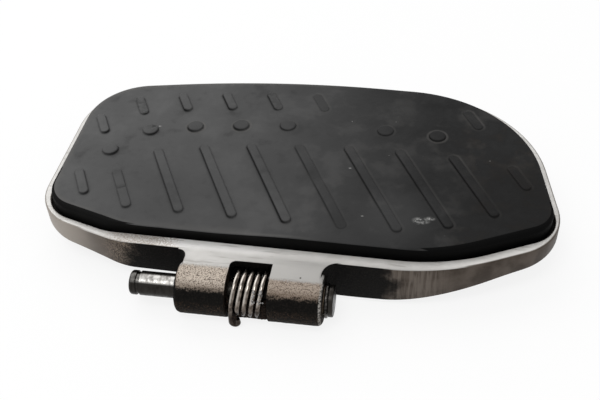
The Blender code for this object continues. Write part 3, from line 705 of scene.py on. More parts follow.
def rubber():
    """Worn black rubber: paler at the left from dust and painted sheen, dark at the right, scuffed
    in patches, with painted highlights and shade round the bars.
    """
    look = Look("pad_rubber", grey(0.02), 0.62, specular=0.12)
    x, y, _ = look.position()
    cloud = look.noise(26, 4)
    patch = look.noise(9, 4, shift=0.4)
    fine = look.noise(0.8, 3, shift=0.2)
    smear = look.noise(1.1, 5, stretch=(2.0, 1.0, 1.0), shift=0.5, rough=0.8)

    # Paler towards the left: dust, together with the painted sheen of the light from the back left
    dust_and_sheen = (x + y * 0.10).rise(112, -72)
    specks = look.spots(9, 0.035, shift=0.013) * patch.rise(0.50, 0.60)
    for mark in PALE_MARKS:
        specks = specks | look.near(*mark, (1.6, 1.0, 6.0)) * smear.rise(0.44, 0.60)
    look.set("Base Color", look.cover(
        look.mix(dust_and_sheen, (0.0075, 0.0075, 0.0076), grey(0.082)),
        (look.blend(0.4, cloud, patch).rise(0.48, 0.62, 0.0, 0.62),
         look.mix(dust_and_sheen, (0.036, 0.035, 0.034), grey(0.110))),
        (look.blend(0.5, cloud, patch).rise(0.48, 0.34, 0.0, 0.45), grey(0.012)),
        # Painted highlight round the feet of the bars and dots, and along the pad's top edge at the
        # left
        (look.attribute("painted_highlight") * 0.5, (0.13, 0.125, 0.118)),
        # Painted shade in the hollow at the foot of each bar and dot, strongest on its shaded side
        (look.attribute("cavity_shade") * 0.92, grey(0.003)),
        (look.attribute("worn") * 0.5, grey(0.016)),
        (x.rise(85, 112) * patch.rise(0.46, 0.66, 0.0, 0.4), (0.026, 0.021, 0.017)),
        (look.spots(4, 0.045, shift=0.031) * cloud.rise(0.46, 0.56) * 0.5, (0.17, 0.17, 0.165)),
        (look.near(66, 42, 4, 26) * 0.22, grey(0.085)),
        (look.near(-55, 40, 10, 70) * 0.50, grey(0.045)),
        (look.near(122, 60, 10, 42) * 0.7, (0.0045, 0.0043, 0.0042)),
        (specks, (0.36, 0.36, 0.35))))
    look.set("Roughness", patch.rise(0.3, 0.7, 0.50, 0.66))
    look.bump((patch, 0.25), (look.noise(3, 3, shift=0.9), 0.08), (fine, 0.025))
    return look.material


def pin_metal():
    """Oily turned steel with dark patches and rings of wear, light only in a band at the top front:
    near black below and behind it, inside the spring and at its ends, from oil and painted shade and
    reflection.
    """
    look = Look("oily_pin_steel", (0.2, 0.2, 0.19), 0.3, metallic=1.0)
    x, _, _ = look.position()
    _, front, up = look.facing()
    rings = look.noise(1.6, 3, stretch=(1.0, 9.0, 9.0))
    patch = look.noise(2.2, 4, stretch=(1.0, 2.0, 2.0), shift=0.3)
    tip = PIN_TIP / MM
    # Oil together with painted shade and reflection: near black where the pin turns down or back,
    # inside the spring, at the head and at the tip
    oil_and_shade = (up.rise(0.84, 0.70) | front.rise(-0.02, 0.20) | x.rise(36, 37, 0.0, 0.97)
           | x.rise(-34, -30) | x.rise(tip + 5.4, tip + 5.0, 0.0, 0.8))
    look.set("Base Color", look.cover(
        look.mix(patch.rise(0.34, 0.56), (0.20, 0.19, 0.18), (0.44, 0.43, 0.41)),
        (rings.rise(0.56, 0.70, 0.0, 0.35), (0.10, 0.09, 0.08)),
        (oil_and_shade * 0.96, (0.014, 0.012, 0.010))))
    look.set("Roughness", patch.rise(0.35, 0.65, 0.46, 0.26))
    look.bump((rings, 0.04), (look.noise(0.6, 3), 0.03), edge=0.2)
    return look.material


def spring_metal():
    """Dark spring steel with rust, a painted highlight on the upper left of each turn, and painted
    shade with old grease between the turns and below them.
    """
    look = Look("spring_steel", (0.1, 0.08, 0.07), 0.35, metallic=1.0)
    x, y, z = look.position()
    right, _, _ = look.facing()
    patch = look.noise(2.5, 4)
    fine = look.noise(0.5, 3, shift=0.2)
    radius = (y * y + z * z).math("SQRT")
    coil = COIL_RADIUS / MM
    # Painted shade between the turns and towards the bottom of the coil, with old grease at the
    # lower right
    inner = (radius.rise(coil + 1.2, coil + 0.5) | z.rise(2, -5, 0.0, 0.94)
             | z.rise(3, -1) * x.rise(0, 4) * fine.rise(0.62, 0.44))
    look.set("Base Color", look.cover(
        look.mix(patch.rise(0.35, 0.65), (0.06, 0.048, 0.040), (0.24, 0.205, 0.175)),
        # Painted highlight on the upper left of each turn
        (z.rise(2, 6) * right.rise(0.3, -0.3) * 0.7, (0.72, 0.67, 0.61)),
        (fine.rise(0.60, 0.74, 0.0, 0.15), (0.080, 0.042, 0.026)),
        (inner * 0.9, (0.014, 0.010, 0.008))))
    look.set("Roughness", patch.rise(0.3, 0.7, 0.15, 0.24))
    look.bump((patch, 0.02))
    return look.material


def plain_metal(name, dark, light, roughness, size=2.0):
    """Plated or sintered metal with soft stains and a fine grain."""
    look = Look(name, light, roughness, metallic=1.0)
    stain = look.noise(size, 4)
    fine = look.noise(0.4, 2, shift=0.5)
    look.set("Base Color", look.cover(look.mix(stain.rise(0.35, 0.65), dark, light),
                                      (fine.rise(0.6, 0.7, 0.0, 0.5), dark)))
    look.set("Roughness", stain.rise(0.3, 0.7, roughness + 0.12, roughness - 0.06))
    look.bump((fine, 0.03), edge=0.2)
    return look.material


# Tray casting

def tray_shell():
    def lower_ring(inset, lift):
        outline = rounded_outline(RIM_CORNERS, -inset)
        return [(p.x, p.y, skirt_bottom(p.x, p.y) + lift) for p in outline]

    rings = [level(rounded_outline(RIM_CORNERS, -SKIRT_WALL - INNER_FILLET * (1 - sine)),
                   FLOOR_UNDERSIDE - INNER_FILLET * drop) for sine, drop in quarter(4)]
    rings += [lower_ring(SKIRT_WALL - LOWER_ROUND * (1 - sine), LOWER_ROUND * drop)
              for sine, drop in reversed(quarter(3))]
    rings += [lower_ring(LOWER_ROUND * (1 - sine), LOWER_ROUND * drop)
              for sine, drop in quarter(3)]
    for sine, drop in reversed(quarter(6)):
        reach = [-width * (1 - sine) for width in RIM_ROUND]
        rings.append(level(rounded_outline(RIM_CORNERS, reach), RIM_TOP - RIM_ROUND_DROP * drop))
    rings += [level(rounded_outline(RECESS_CORNERS, MOUTH_ROUND * (1 - sine)),
                    RIM_TOP - MOUTH_ROUND * drop) for sine, drop in quarter(3)]
    rings.append(level(RECESS, FLOOR_TOP))
    return skin(rings)


def barrel():
    """The knuckles before the slot parts them, rough from the sand on their front."""
    edge = [(-KNUCKLE_FACE + KNUCKLE_EDGE_RADIUS * drop,
             KNUCKLE_RADIUS - KNUCKLE_EDGE_RADIUS * (1 - sine)) for sine, drop in quarter(6)]
    steps = 84
    run = 2 * (KNUCKLE_FACE - KNUCKLE_EDGE_RADIUS)
    middle = [(run * step / steps - run / 2, KNUCKLE_RADIUS) for step in range(1, steps)]
    rings = []
    for ring in turned(edge + middle + [(-x, radius) for x, radius in reversed(edge)]):
        moved = []
        for point in ring:
            here = Vector(point)
            out = Vector((0.0, here.y, here.z)).normalized()
            rough = noise.turbulence(here / (1.6 * MM), 3, False) - 0.5
            amount = CAST_ROUGHNESS * smooth(out.z, 0.985, 0.80) * (1 if here.y < 0 else 0)
            moved.append(here + out * rough * amount)
        rings.append(moved)
    return skin(rings)


def tongue_plan(inset):
    """The tongue from above, with fillets where it leaves the rim."""
    half = KNUCKLE_FACE - TONGUE_INSET - inset
    root = NEAREST_RIM + RIM_ROUND[1] - inset

    def fillet(side, radius):
        reach = radius + inset
        arc = [(math.cos(a), math.sin(a)) for a in (math.pi / 2 * i / 10 for i in range(11))]
        return [Vector((side * (half + reach * (1 - cosine)), root - radius + reach * sine))
                for cosine, sine in arc] + [Vector((side * (half + reach), TONGUE_ROOT))]

    return ([Vector((-half, 0.0)), Vector((half, 0.0))] + fillet(1, FILLET_RIGHT)
            + fillet(-1, FILLET_LEFT)[::-1])


def tongue():
    """The tongue with its top edges rounded like the rim's, and its heel sloping back."""
    rings = [level(tongue_plan(0.0), -KNUCKLE_RADIUS - CUT_MARGIN)]
    rings += [level(tongue_plan(TONGUE_ROUND * (1 - sine)), RIM_TOP - TONGUE_ROUND * drop)
              for sine, drop in reversed(quarter(4))]
    mid_rim = NEAREST_RIM + RIM_WIDTHS[1] / 2
    mid_floor = (FLOOR_TOP + FLOOR_UNDERSIDE) / 2
    over = RIM_TOP + CUT_MARGIN
    side = ((0.0, -KNUCKLE_RADIUS + TONGUE_HEEL), (NEAREST_RIM, skirt_bottom(0.0, NEAREST_RIM)),
            (TONGUE_ROOT, skirt_bottom(0.0, TONGUE_ROOT)), (TONGUE_ROOT, mid_floor),
            (mid_rim, mid_floor), (mid_rim, over), (0.0, over))
    return shared(skin(rings), skin(side_prism(side, -KNUCKLE_SPAN, KNUCKLE_SPAN)))


def ribs():
    """Ribs under the floor, deeper where they back the hinge skirt."""
    near = NEAREST_RIM + SKIRT_WALL / 2
    far = max(p.y for p in RIM) - SKIRT_WALL / 2
    top = FLOOR_UNDERSIDE + FLOOR_THICKNESS / 2
    low = FLOOR_UNDERSIDE - RIB_HEIGHT
    stacks = []
    for x in RIB_PLACES:
        deep = skirt_bottom(x, near) + RIB_STEP_UP
        outline = ((near, deep), (near + RIB_GUSSET, low), (far, low), (far, top), (near, top))
        stacks.append(side_prism(outline, x - RIB_WIDTH / 2, x + RIB_WIDTH / 2))
    within = rounded_outline(RIM_CORNERS, -SKIRT_WALL / 2)
    return shared(skin(*stacks),
                  skin(prism(within, -HINGE_DEPTH - CUT_MARGIN, RIM_TOP + CUT_MARGIN)))


def hinge_cuts():
    """The spring's slot, open in front, its room below the lip, the bore and the leg's channel."""
    front = -KNUCKLE_RADIUS - CUT_MARGIN
    under_lip = RIM_TOP - LIP_THICKNESS
    edge = SLOT_BACK - LIP_SETBACK
    plan = [Vector((SLOT_LEFT, front)), Vector((SLOT_RIGHT, front)), Vector((SLOT_RIGHT, edge))]
    plan += [Vector((SLOT_LEFT + SLOT_CORNER * (1 - sine), edge - SLOT_CORNER * drop))
             for sine, drop in quarter(8)]
    reach = KNUCKLE_FACE + CUT_MARGIN
    ceiling = -LEG_DROP + WIRE_RADIUS + SEAT_GAP
    floor = -HINGE_DEPTH - CUT_MARGIN
    back = TONGUE_ROOT + CUT_MARGIN
    return (
        side_prism(((front, front), (SLOT_BACK, front), (SLOT_BACK, under_lip),
                    (front, under_lip)), SLOT_LEFT, SLOT_RIGHT),
        prism(plan, 0.0, RIM_TOP + CUT_MARGIN),
        turned(((-reach, KNUCKLE_BORE), (reach, KNUCKLE_BORE))),
        side_prism(((edge, floor), (back, floor), (back, ceiling), (edge, ceiling)),
                   COIL_START - LEG_CHANNEL / 2, COIL_START + LEG_CHANNEL / 2))


def make_tray():
    tray = mesh_object("tray_detail", tray_shell())
    for body in (ribs, tongue, barrel):
        combine(tray, body(), "UNION")
    for cut in hinge_cuts():
        combine(tray, skin(cut), "DIFFERENCE")
    holes = [prism(circle(SCREW_RADIUS + HOLE_CLEARANCE, place),
                   FLOOR_UNDERSIDE - CUT_MARGIN / 2, FLOOR_TOP + CUT_MARGIN / 2)
             for place in FIXINGS]
    combine(tray, skin(*holes), "DIFFERENCE")
    finish_piece(tray, cast_metal(), "board", "cast_aluminium", "tray_casting")


# Rubber pad

@dataclass
class Pill:
    """A raised bar or dot: the ends of its middle line, half width, relief, kind and row."""
    start: Vector
    end: Vector
    half: float
    relief: float
    kind: str
    row: int

    def share(self, point):
        """How far along the bar a point lies, from 0 to 1."""
        run = self.end - self.start
        return (point - self.start).dot(run) / run.length_squared if run.length > 1e-6 else 0.5

    def offset(self, point):
        """From the nearest point of the middle line to a point."""
        share = min(1.0, max(0.0, self.share(point)))
        return point - self.start - (self.end - self.start) * share

    def ring(self, radius, side_steps, end_steps):
        run = self.end - self.start
        heading = math.atan2(run.y, run.x) if run.length > 1e-6 else 0.0
        points = []
        for centre, other, turn in ((self.end, self.start, heading - math.pi / 2),
                                    (self.start, self.end, heading + math.pi / 2)):
            for step in range(end_steps + 1):
                angle = turn + math.pi * step / end_steps
                points.append(centre + radius * Vector((math.cos(angle), math.sin(angle))))
            across = radius * Vector((math.cos(turn + math.pi), math.sin(turn + math.pi)))
            points += [centre.lerp(other, step / side_steps) + across
                       for step in range(1, side_steps)]
        return points


# Strength of the painted highlight round each dot, by row, and of the darker dot tops
DOT_PAINTED_HIGHLIGHT = {-4: 0.35, -3: 0.25, -2: 1.0, -1: 0.9, 0: 0.3, 2: 0.3, 3: 0.7}
DOT_STAIN = {-2: 0.7, -1: 0.7, 3: 0.3}
BAR_PAINTED_HIGHLIGHT = {1: 0.25, 2: 0.30, 3: 0.50, 4: 0.50}

# Ring by ring from a bar's foot to its crown: how far outside the bar's edge in mm, height as
# a share of its relief, strength of the painted highlight and of the painted shade in the hollow
PILL_RINGS = ((1.9, 0.0, 0.0, 0.0), (1.1, 0.005, 0.75, 0.1), (0.55, 0.02, 1.0, 0.55),
              (0.25, 0.07, 0.35, 1.0), (0.08, 0.25, 0.0, 1.0), (0.0, 0.50, 0.0, 1.0),
              (-0.10, 0.74, 0.0, 0.75), (-0.32, 0.90, 0.0, 0.3), (-0.70, 0.98, 0.0, 0.0),
              (-1.3, 1.03, 0.0, 0.0))
FOOT = PILL_RINGS[0][0] * MM
CROWN_HEIGHT = 1.06


def shaded_side(x):
    """The side of a bar that takes the painted shade: right of a bar at the board's left end, else
    left of it.
    """
    across = 0.78 - 1.6 * smooth(x, -85 * MM, -45 * MM)
    return Vector((across, -0.62)).normalized()


def wave(x, y):
    """Gentle hollows worn into the pad's top."""
    broad = noise.noise(Vector((x, y, 0.0)) / (38 * MM))
    close = noise.noise(Vector((x + 0.5, y, 0.0)) / (13 * MM))
    return PAD_WAVE * (0.7 * broad + 0.3 * close)


def pattern():
    along = Vector((math.sin(ROW_ANGLE), -math.cos(ROW_ANGLE)))
    half = PILL_WIDTH / 2
    pills = []

    def add_bar(origin, first, last, relief, kind, row):
        pills.append(Pill(origin + along * (first + half), origin + along * (last - half),
                          half, relief, kind, row))

    for row in range(-4, 5):
        origin = Vector(ROW_ORIGIN) + Vector((row * ROW_PITCH, 0.0))
        enter, leave = crossings(PAD, origin, along)
        enter += ROW_SETBACKS.get(row, 0.0)
        if row not in GONE_SHORT:
            add_bar(origin, enter + SHORT_PILL[0], enter + SHORT_PILL[1],
                    SHORT_RELIEF.get(row, 1.0), "short", row)
        if row not in GONE_DOTS:
            centre = origin + along * (enter + DOT_PLACE)
            pills.append(Pill(centre, centre, DOT_RADIUS, DOT_RELIEF.get(row, 1.0), "dot", row))
        add_bar(origin, enter + LONG_PILL_START,
                leave - WIDER_MARGINS.get(row, LONG_PILL_MARGIN),
                LONG_RELIEF.get(row, 1.0), "long", row)
    origin = Vector(ROW_ORIGIN) + Vector((CORNER_ROW, 0.0))
    enter, leave = crossings(PAD, origin, along)
    add_bar(origin, enter + CORNER_PILL[0], leave - CORNER_PILL[1], 1.0, "long", -5)
    return pills


def damage(pill, point):
    """Share of the relief that wear has left at a point of a bar or dot."""
    share = pill.share(point)
    which = (pill.kind, pill.row)
    left = 1.0
    if pill.kind == "long":
        left *= smooth(share, -0.10, 0.16) * 0.35 + 0.65
    if which == ("long", -4):
        left *= (1 - 0.7 * hump(share, 0.50, 0.035)) * (1 - 0.35 * hump(share, 0.08, 0.10))
    if which == ("long", 0):
        left *= (1 - 0.75 * hump(share, 0.42, 0.09)) * (1 - 0.80 * smooth(share, 0.80, 1.0))
    if which == ("short", -3):
        torn = noise.noise(Vector((point.x, point.y, 0.3)) / (1.7 * MM))
        left *= 0.55 + 0.45 * smooth(torn, -0.15, 0.15)
    if which == ("short", 0):
        torn = noise.noise(Vector((point.x, point.y, 0.8)) / (2.2 * MM))
        left *= 0.6 + 0.4 * smooth(torn, -0.2, 0.1)
    if which == ("dot", -3):
        nick = pill.start + Vector(mm(1.6, 3.0))
        left *= 1 - 0.85 * hump((point - nick).length, 0.0, 1.1 * MM)
    return left


def add_pill(bm, pill, layers):
    """Skins one bar from its foot to its crown and returns the points of its foot."""
    length = (pill.end - pill.start).length
    side_steps = max(2, round(length / (1.1 * MM)))
    dot = pill.kind == "dot"
    painted_highlight = DOT_PAINTED_HIGHLIGHT.get(pill.row, 0.0) if dot else BAR_PAINTED_HIGHLIGHT.get(pill.row, 0.1)
    stain = DOT_STAIN.get(pill.row, 0.0) if dot else 0.0
    crown = (-pill.half / MM, CROWN_HEIGHT, 0.0, 0.0)
    rings = []
    for index, (offset, share, pale, cavity_shade) in enumerate((*PILL_RINGS, crown)):
        made = []
        for point in pill.ring(max(pill.half + offset * MM, 0.0), side_steps, 20 if dot else 12):
            relief = pill.relief * damage(pill, point)
            height = PAD_TOP + wave(point.x, point.y) + RELIEF * relief * share
            vert = bm.verts.new((point.x, point.y, height))
            facing = pill.offset(point).normalized().dot(shaded_side(point.x))
            # Painted highlight, strongest on the side of a bar away from its painted shade
            lit = 1.0 if painted_highlight > 0.6 else 0.35 + 0.65 * max(0.0, -facing)
            vert[layers["painted_highlight"]] = pale * painted_highlight * lit
            # Painted shade at the bar's foot, strongest on its shaded side
            vert[layers["cavity_shade"]] = (cavity_shade * min(1.0, pill.relief + 0.1)
                                      * (0.25 + 0.75 * max(0.0, facing)))
            vert[layers["worn"]] = min(1.0, 1 - relief + stain) if index > 4 else 0.0
            made.append(vert)
        rings.append(made)
    for low, high in zip(rings, rings[1:]):
        bridge(bm, low, high)
    return rings[0]


def edge_distance(point):
    """How far inside the pad's straight-edged outline a point lies."""
    corners = [Vector(corner[:2]) for corner in PAD_CORNERS]
    return min(cross((b - a).normalized(), point - a) - edge
               for a, b, edge in zip(corners, corners[1:] + corners[:1], PAD_EDGES))


def inside_outline(point, outline):
    inside = False
    for i, a in enumerate(outline):
        b = outline[i - 1]
        if (a.y > point.y) != (b.y > point.y):
            if point.x < (b.x - a.x) * (point.y - a.y) / (b.y - a.y) + a.x:
                inside = not inside
    return inside


def spread(point):
    """One where the pad's near edge is trodden outward, left of the middle, else zero."""
    return (smooth(point.x, 18 * MM, -25 * MM) * smooth(point.x, -78 * MM, -58 * MM)
            * smooth(point.y, 60 * MM, 40 * MM))


def pad_rings():
    """Points of the pad's wall and rounded edge, from its foot to the flat top."""
    top = rounded_outline(PAD_CORNERS, [-edge for edge in PAD_EDGES])
    depth = []
    for i, (p, q) in enumerate(zip(PAD, top)):
        along = (PAD[(i + 1) % len(PAD)] - PAD[i - 1]).normalized()
        depth.append(PAD_EDGE_SLOPE * abs(along.cross(p - q)))
    rings = prism(PAD, PLATE_BOTTOM, (PLATE_BOTTOM + PAD_TOP) / 2)
    for sine, drop in quarter(PAD_EDGE_RINGS):
        outline = rounded_outline(PAD_CORNERS, [-edge * drop for edge in PAD_EDGES])
        rings.append([(p.x, p.y - PAD_BULGE * spread(p),
                       PAD_TOP - d * (1 - sine) + wave(p.x, p.y) * drop)
                      for p, d in zip(outline, depth)])
    return rings


def add_wall(bm, layers):
    """The pad's bottom, wall and edge. Returns the points where its top begins."""
    made = [[bm.verts.new(point) for point in ring] for ring in pad_rings()]
    for low, high in zip(made, made[1:]):
        bridge(bm, low, high)
    bm.faces.new(made[0][::-1])
    # The wall and the short sloping edges take the wall's rubber, painted darker as shade
    for number, face in enumerate(list(bm.faces)[:len(PAD) * (PAD_EDGE_RINGS + 1)]):
        foot = made[0][number % len(PAD)].co
        beside = not SLOPES_BESIDE[0] < foot.x < SLOPES_BESIDE[1]
        sloping = foot.y < SLOPES_BELOW and beside
        face.material_index = int(sloping or number < len(PAD) * PAD_WALL_RINGS)
    # Painted highlight along the pad's top edge, left of the middle
    for vert in sum(made[-3:], []):
        vert[layers["painted_highlight"]] = 0.8 * smooth(vert.co.x, 45 * MM, -10 * MM)
    return made[-1]


def top_points(outline, pills):
    """Points spread over the pad's top, clear of its edge and of the bars."""
    low_x = min(p.x for p in outline)
    low_y = min(p.y for p in outline)
    reach_x = max(p.x for p in outline) - low_x
    reach_y = max(p.y for p in outline) - low_y
    points = []
    for row in range(int(reach_y / PAD_GRID / PAD_GRID_ROWS) + 1):
        y = low_y + row * PAD_GRID * PAD_GRID_ROWS
        for column in range(int(reach_x / PAD_GRID) + 1):
            point = Vector((low_x + (column + 0.5 * (row % 2)) * PAD_GRID, y))
            if (edge_distance(point) >= CLEAR_OF_EDGE and inside_outline(point, outline)
                    and min((point - p).length for p in outline) >= CLEAR_OF_POINTS
                    and all(pill.offset(point).length >= pill.half + FOOT + CLEAR_OF_FOOT
                            for pill in pills)):
                points.append(point)
    return points, Vector((low_x + reach_x / 2, low_y + reach_y / 2))


def make_pad():
    bm = bmesh.new()
    layers = {name: bm.verts.layers.float.new(name) for name in ("painted_highlight", "cavity_shade", "worn")}
    verts = list(add_wall(bm, layers))
    outline = [vert.co.xy for vert in verts]
    loops = [list(range(len(verts)))]
    pills = pattern()
    for pill in pills:
        foot = add_pill(bm, pill, layers)
        loops.append(list(range(len(verts), len(verts) + len(foot))))
        verts += foot
    points, middle = top_points(outline, pills)
    verts += [bm.verts.new((p.x, p.y, PAD_TOP + wave(p.x, p.y))) for p in points]
    # A slight bulge keeps the outline's straight edges from making empty triangles
    flat = [(vert.co.xy - middle) * (1 - 8.0 * (vert.co.xy - middle).length_squared)
            for vert in verts]
    edges = [(loop[i - 1], loop[i]) for loop in loops for i in range(len(loop))]
    result = delaunay_2d_cdt(flat, edges, [loops[0]], 1, 1e-7, True)
    for face in result[2]:
        corners = [verts[result[3][i][0]] for i in face]
        centre = sum((vert.co.xy for vert in corners), Vector((0.0, 0.0))) / len(face)
        if all(pill.offset(centre).length >= pill.half + FOOT * 0.985 for pill in pills):
            bm.faces.new(corners)
    bmesh.ops.remove_doubles(bm, verts=bm.verts, dist=1e-6)
    bmesh.ops.dissolve_degenerate(bm, edges=bm.edges, dist=1e-7)
    finish_piece(mesh_object("pad_detail", bm), [rubber(), rubber_wall()],
                 "board", "pad_rubber", "rubber_pad")


# Hinge pieces

def make_turned(name, profile, look, body, slot, looped=True):
    piece = mesh_object(name + "_detail", skin(turned(profile), looped=looped))
    finish_piece(piece, look, body, slot, name)


def make_pin():
    groove = PIN_TIP + GROOVE_INSET
    head_end = PIN_HEAD_FACE + PIN_HEAD_THICKNESS
    tip = [(PIN_TIP + PIN_CHAMFER * drop, PIN_RADIUS - PIN_CHAMFER * (1 - sine))
           for sine, drop in quarter(6)]
    crown = [(head_end - PIN_CHAMFER / 2 * drop, PIN_HEAD_RADIUS - PIN_CHAMFER / 2 * (1 - sine))
             for sine, drop in reversed(quarter(4))]
    small = EDGE_BREAK
    profile = tip + [
        (groove - small, PIN_RADIUS), (groove, PIN_RADIUS - small),
        (groove, PIN_RADIUS - GROOVE_DEPTH), (groove + GROOVE_WIDTH, PIN_RADIUS - GROOVE_DEPTH),
        (groove + GROOVE_WIDTH, PIN_RADIUS - small), (groove + GROOVE_WIDTH + small, PIN_RADIUS),
        (PIN_HEAD_FACE, PIN_RADIUS), (PIN_HEAD_FACE, PIN_HEAD_RADIUS - small),
        (PIN_HEAD_FACE + small, PIN_HEAD_RADIUS)] + crown
    make_turned("hinge_pin", profile, pin_metal(), "pin", "pin_steel", looped=False)


def sleeve(start, end, bore, radius):
    """Profile of a bush or washer with its outer edges broken."""
    return ((start, bore), (start, radius - EDGE_BREAK), (start + EDGE_BREAK, radius),
            (end - EDGE_BREAK, radius), (end, radius - EDGE_BREAK), (end, bore))


def make_washer_and_bushes():
    zinc = plain_metal("zinc_washer", (0.010, 0.009, 0.008), (0.10, 0.094, 0.088), 0.24)
    profile = sleeve(HEAD_WASHER_FACE, HEAD_WASHER_FACE + HEAD_WASHER_THICKNESS,
                     PIN_RADIUS + SEAT_GAP, HEAD_WASHER_RADIUS)
    make_turned("head_washer", profile, zinc, "pin", "zinc_steel")
    bronze = plain_metal("sintered_bronze", (0.06, 0.05, 0.04), (0.26, 0.20, 0.14), 0.45)
    outside = KNUCKLE_FACE + BUSH_PROUD
    for name, start, end in (("bush_left", -outside, SLOT_LEFT),
                             ("bush_right", SLOT_RIGHT, outside)):
        make_turned(name, sleeve(start, end, BUSH_BORE, BUSH_RADIUS), bronze, "board",
                    "bush_bronze")


def bend(centre, radius, first, second):
    """Points of a quarter turn from the direction first to the direction second."""
    angles = [math.pi / 2 * i / 10 for i in range(11)]
    return [centre + radius * (math.cos(a) * first + math.sin(a) * second) for a in angles]


def spring_path():
    """Rear leg, coil and front hook of the torsion spring, as one line of points."""
    right = Vector((1, 0, 0))
    back = Vector((0, 1, 0))
    up = Vector((0, 0, 1))
    leg_x = COIL_START * right
    elbow = leg_x + back * (COIL_RADIUS + LEG_BEND) - up * (LEG_DROP - LEG_BEND)
    path = [leg_x + back * LEG_LENGTH - up * LEG_DROP]
    path += bend(elbow, LEG_BEND, -up, -back)
    steps = round(COIL_STEPS * COIL_TURNS)
    for step in range(steps + 1):
        turn = 2 * math.pi * COIL_TURNS * step / steps
        height = COIL_RADIUS * math.sin(turn)
        x = COIL_START + (COIL_END - COIL_START) * step / steps + COIL_LEAN * height
        path.append(Vector((x, COIL_RADIUS * math.cos(turn), height)))
    hook = path[-1] - back * HOOK_LEAN - up * HOOK_DROP + right * HOOK_RADIUS
    path += bend(hook, HOOK_RADIUS, -right, -up)
    path += bend(hook, HOOK_RADIUS, -up, right)[1:]
    path.append(path[-1] + up * HOOK_TAIL)
    return path


def make_spring():
    path = spring_path()
    side = Vector((1, 0, 0))
    rings = []
    for i, point in enumerate(path):
        ahead = (path[min(i + 1, len(path) - 1)] - path[max(i - 1, 0)]).normalized()
        side = (side - ahead * side.dot(ahead)).normalized()
        other = ahead.cross(side)
        share = 0.8 if i in (0, len(path) - 1) else 1.0
        rings.append([point + WIRE_RADIUS * share * (math.cos(angle) * side
                                                    + math.sin(angle) * other)
                      for angle in (2 * math.pi * k / WIRE_SIDES for k in range(WIRE_SIDES))])
    finish_piece(mesh_object("spring_detail", skin(rings)), spring_metal(), "board",
                 "spring_steel", "torsion_spring")


def grainy(name, colour, roughness, specular, size, detail):
    """A look for dirt or grease, and its grain."""
    look = Look(name, colour, roughness, specular=specular)
    return look, look.noise(size, detail)


def make_caked_dirt():
    """Dirt packed between the turns of the spring, thickest below the pin."""
    first, last = DIRT_TURN
    across, around = DIRT_FACES
    grid = {}
    bm = bmesh.new()
    for i in range(across + 1):
        x = SLOT_LEFT + 0.3 * MM + (SLOT_RIGHT - SLOT_LEFT - 0.6 * MM) * i / across
        for j in range(around + 1):
            angle = first + (last - first) * j / around
            out = Vector((0.0, -math.sin(angle), math.cos(angle)))
            lump = noise.fractal(Vector((x, angle * COIL_RADIUS, 0.0)) / (2.4 * MM), 1.0, 2.0, 3)
            fade = smooth(min(i, across - i), -3, 2) * smooth(min(j, around - j), 0, 6)
            more = DIRT_LOWER * smooth(angle, math.radians(92), math.radians(128))
            high = DIRT_INNER + (DIRT_REACH + more + 0.5 * MM * lump) * fade
            for side, radius in (("out", high), ("in", DIRT_INNER - 0.3 * MM)):
                place = out * radius
                grid[side, i, j] = bm.verts.new((x, place.y, place.z))
    for i in range(across):
        for j in range(around):
            for side in ("out", "in"):
                bm.faces.new([grid[side, i + a, j + b] for a, b in ((0, 0), (1, 0), (1, 1), (0, 1))])
    rim = [((i, j), (i, j + 1)) for j in range(around) for i in (0, across)]
    rim += [((i, j), (i + 1, j)) for i in range(across) for j in (0, around)]
    for a, b in rim:
        bm.faces.new([grid["out", *a], grid["out", *b], grid["in", *b], grid["in", *a]])
    end = spring_path()[-1]
    for vert in bmesh.ops.create_icosphere(bm, subdivisions=3, radius=HOOK_RADIUS)["verts"]:
        lump = noise.noise(vert.co / (1.1 * MM))
        vert.co = Vector((vert.co.x * 1.1, vert.co.y * 0.7, vert.co.z * 2.6)) * (1 + 0.25 * lump)
        vert.co += end - Vector((HOOK_RADIUS, 0.0, 0.4 * MM))
    look, grain = grainy("caked_dirt", (0.01, 0.008, 0.006), 0.8, 0.1, 0.7, 4)
    look.set("Base Color", look.mix(grain.rise(0.4, 0.7), (0.004, 0.003, 0.003),
                                    (0.035, 0.022, 0.014)))
    look.bump((grain, 0.2))
    finish_piece(mesh_object("caked_dirt", bm), look.material, "board", "spring_steel")


def make_grease_crumbs():
    """Pale crumbs of old grease on the right-hand turns of the spring."""
    draw = random.Random(5)
    bm = bmesh.new()
    for number in range(CRUMBS):
        angle = math.radians(draw.uniform(*CRUMB_TURN))
        x = draw.choice(CRUMB_PLACES) * MM + draw.uniform(-0.7, 0.7) * MM
        size = draw.uniform(*CRUMB_SIZES) * MM
        reach = COIL_RADIUS + WIRE_RADIUS + 0.1 * MM
        centre = Vector((x, -reach * math.sin(angle), reach * math.cos(angle)))
        for vert in bmesh.ops.create_icosphere(bm, subdivisions=2, radius=size)["verts"]:
            lump = noise.noise(vert.co / (0.5 * MM) + Vector((number, 0.0, 0.0)))
            vert.co = centre + vert.co * (1.0 + 0.6 * lump)
    look, grain = grainy("old_grease", (0.3, 0.3, 0.29), 0.5, 0.4, 0.5, 3)
    look.set("Base Color", look.mix(grain.rise(0.35, 0.65), (0.03, 0.028, 0.026),
                                    (0.52, 0.51, 0.50)))
    look.bump((grain, 0.1))
    finish_piece(mesh_object("grease_crumbs", bm), look.material, "board", "spring_steel")


# Fixings under the floor

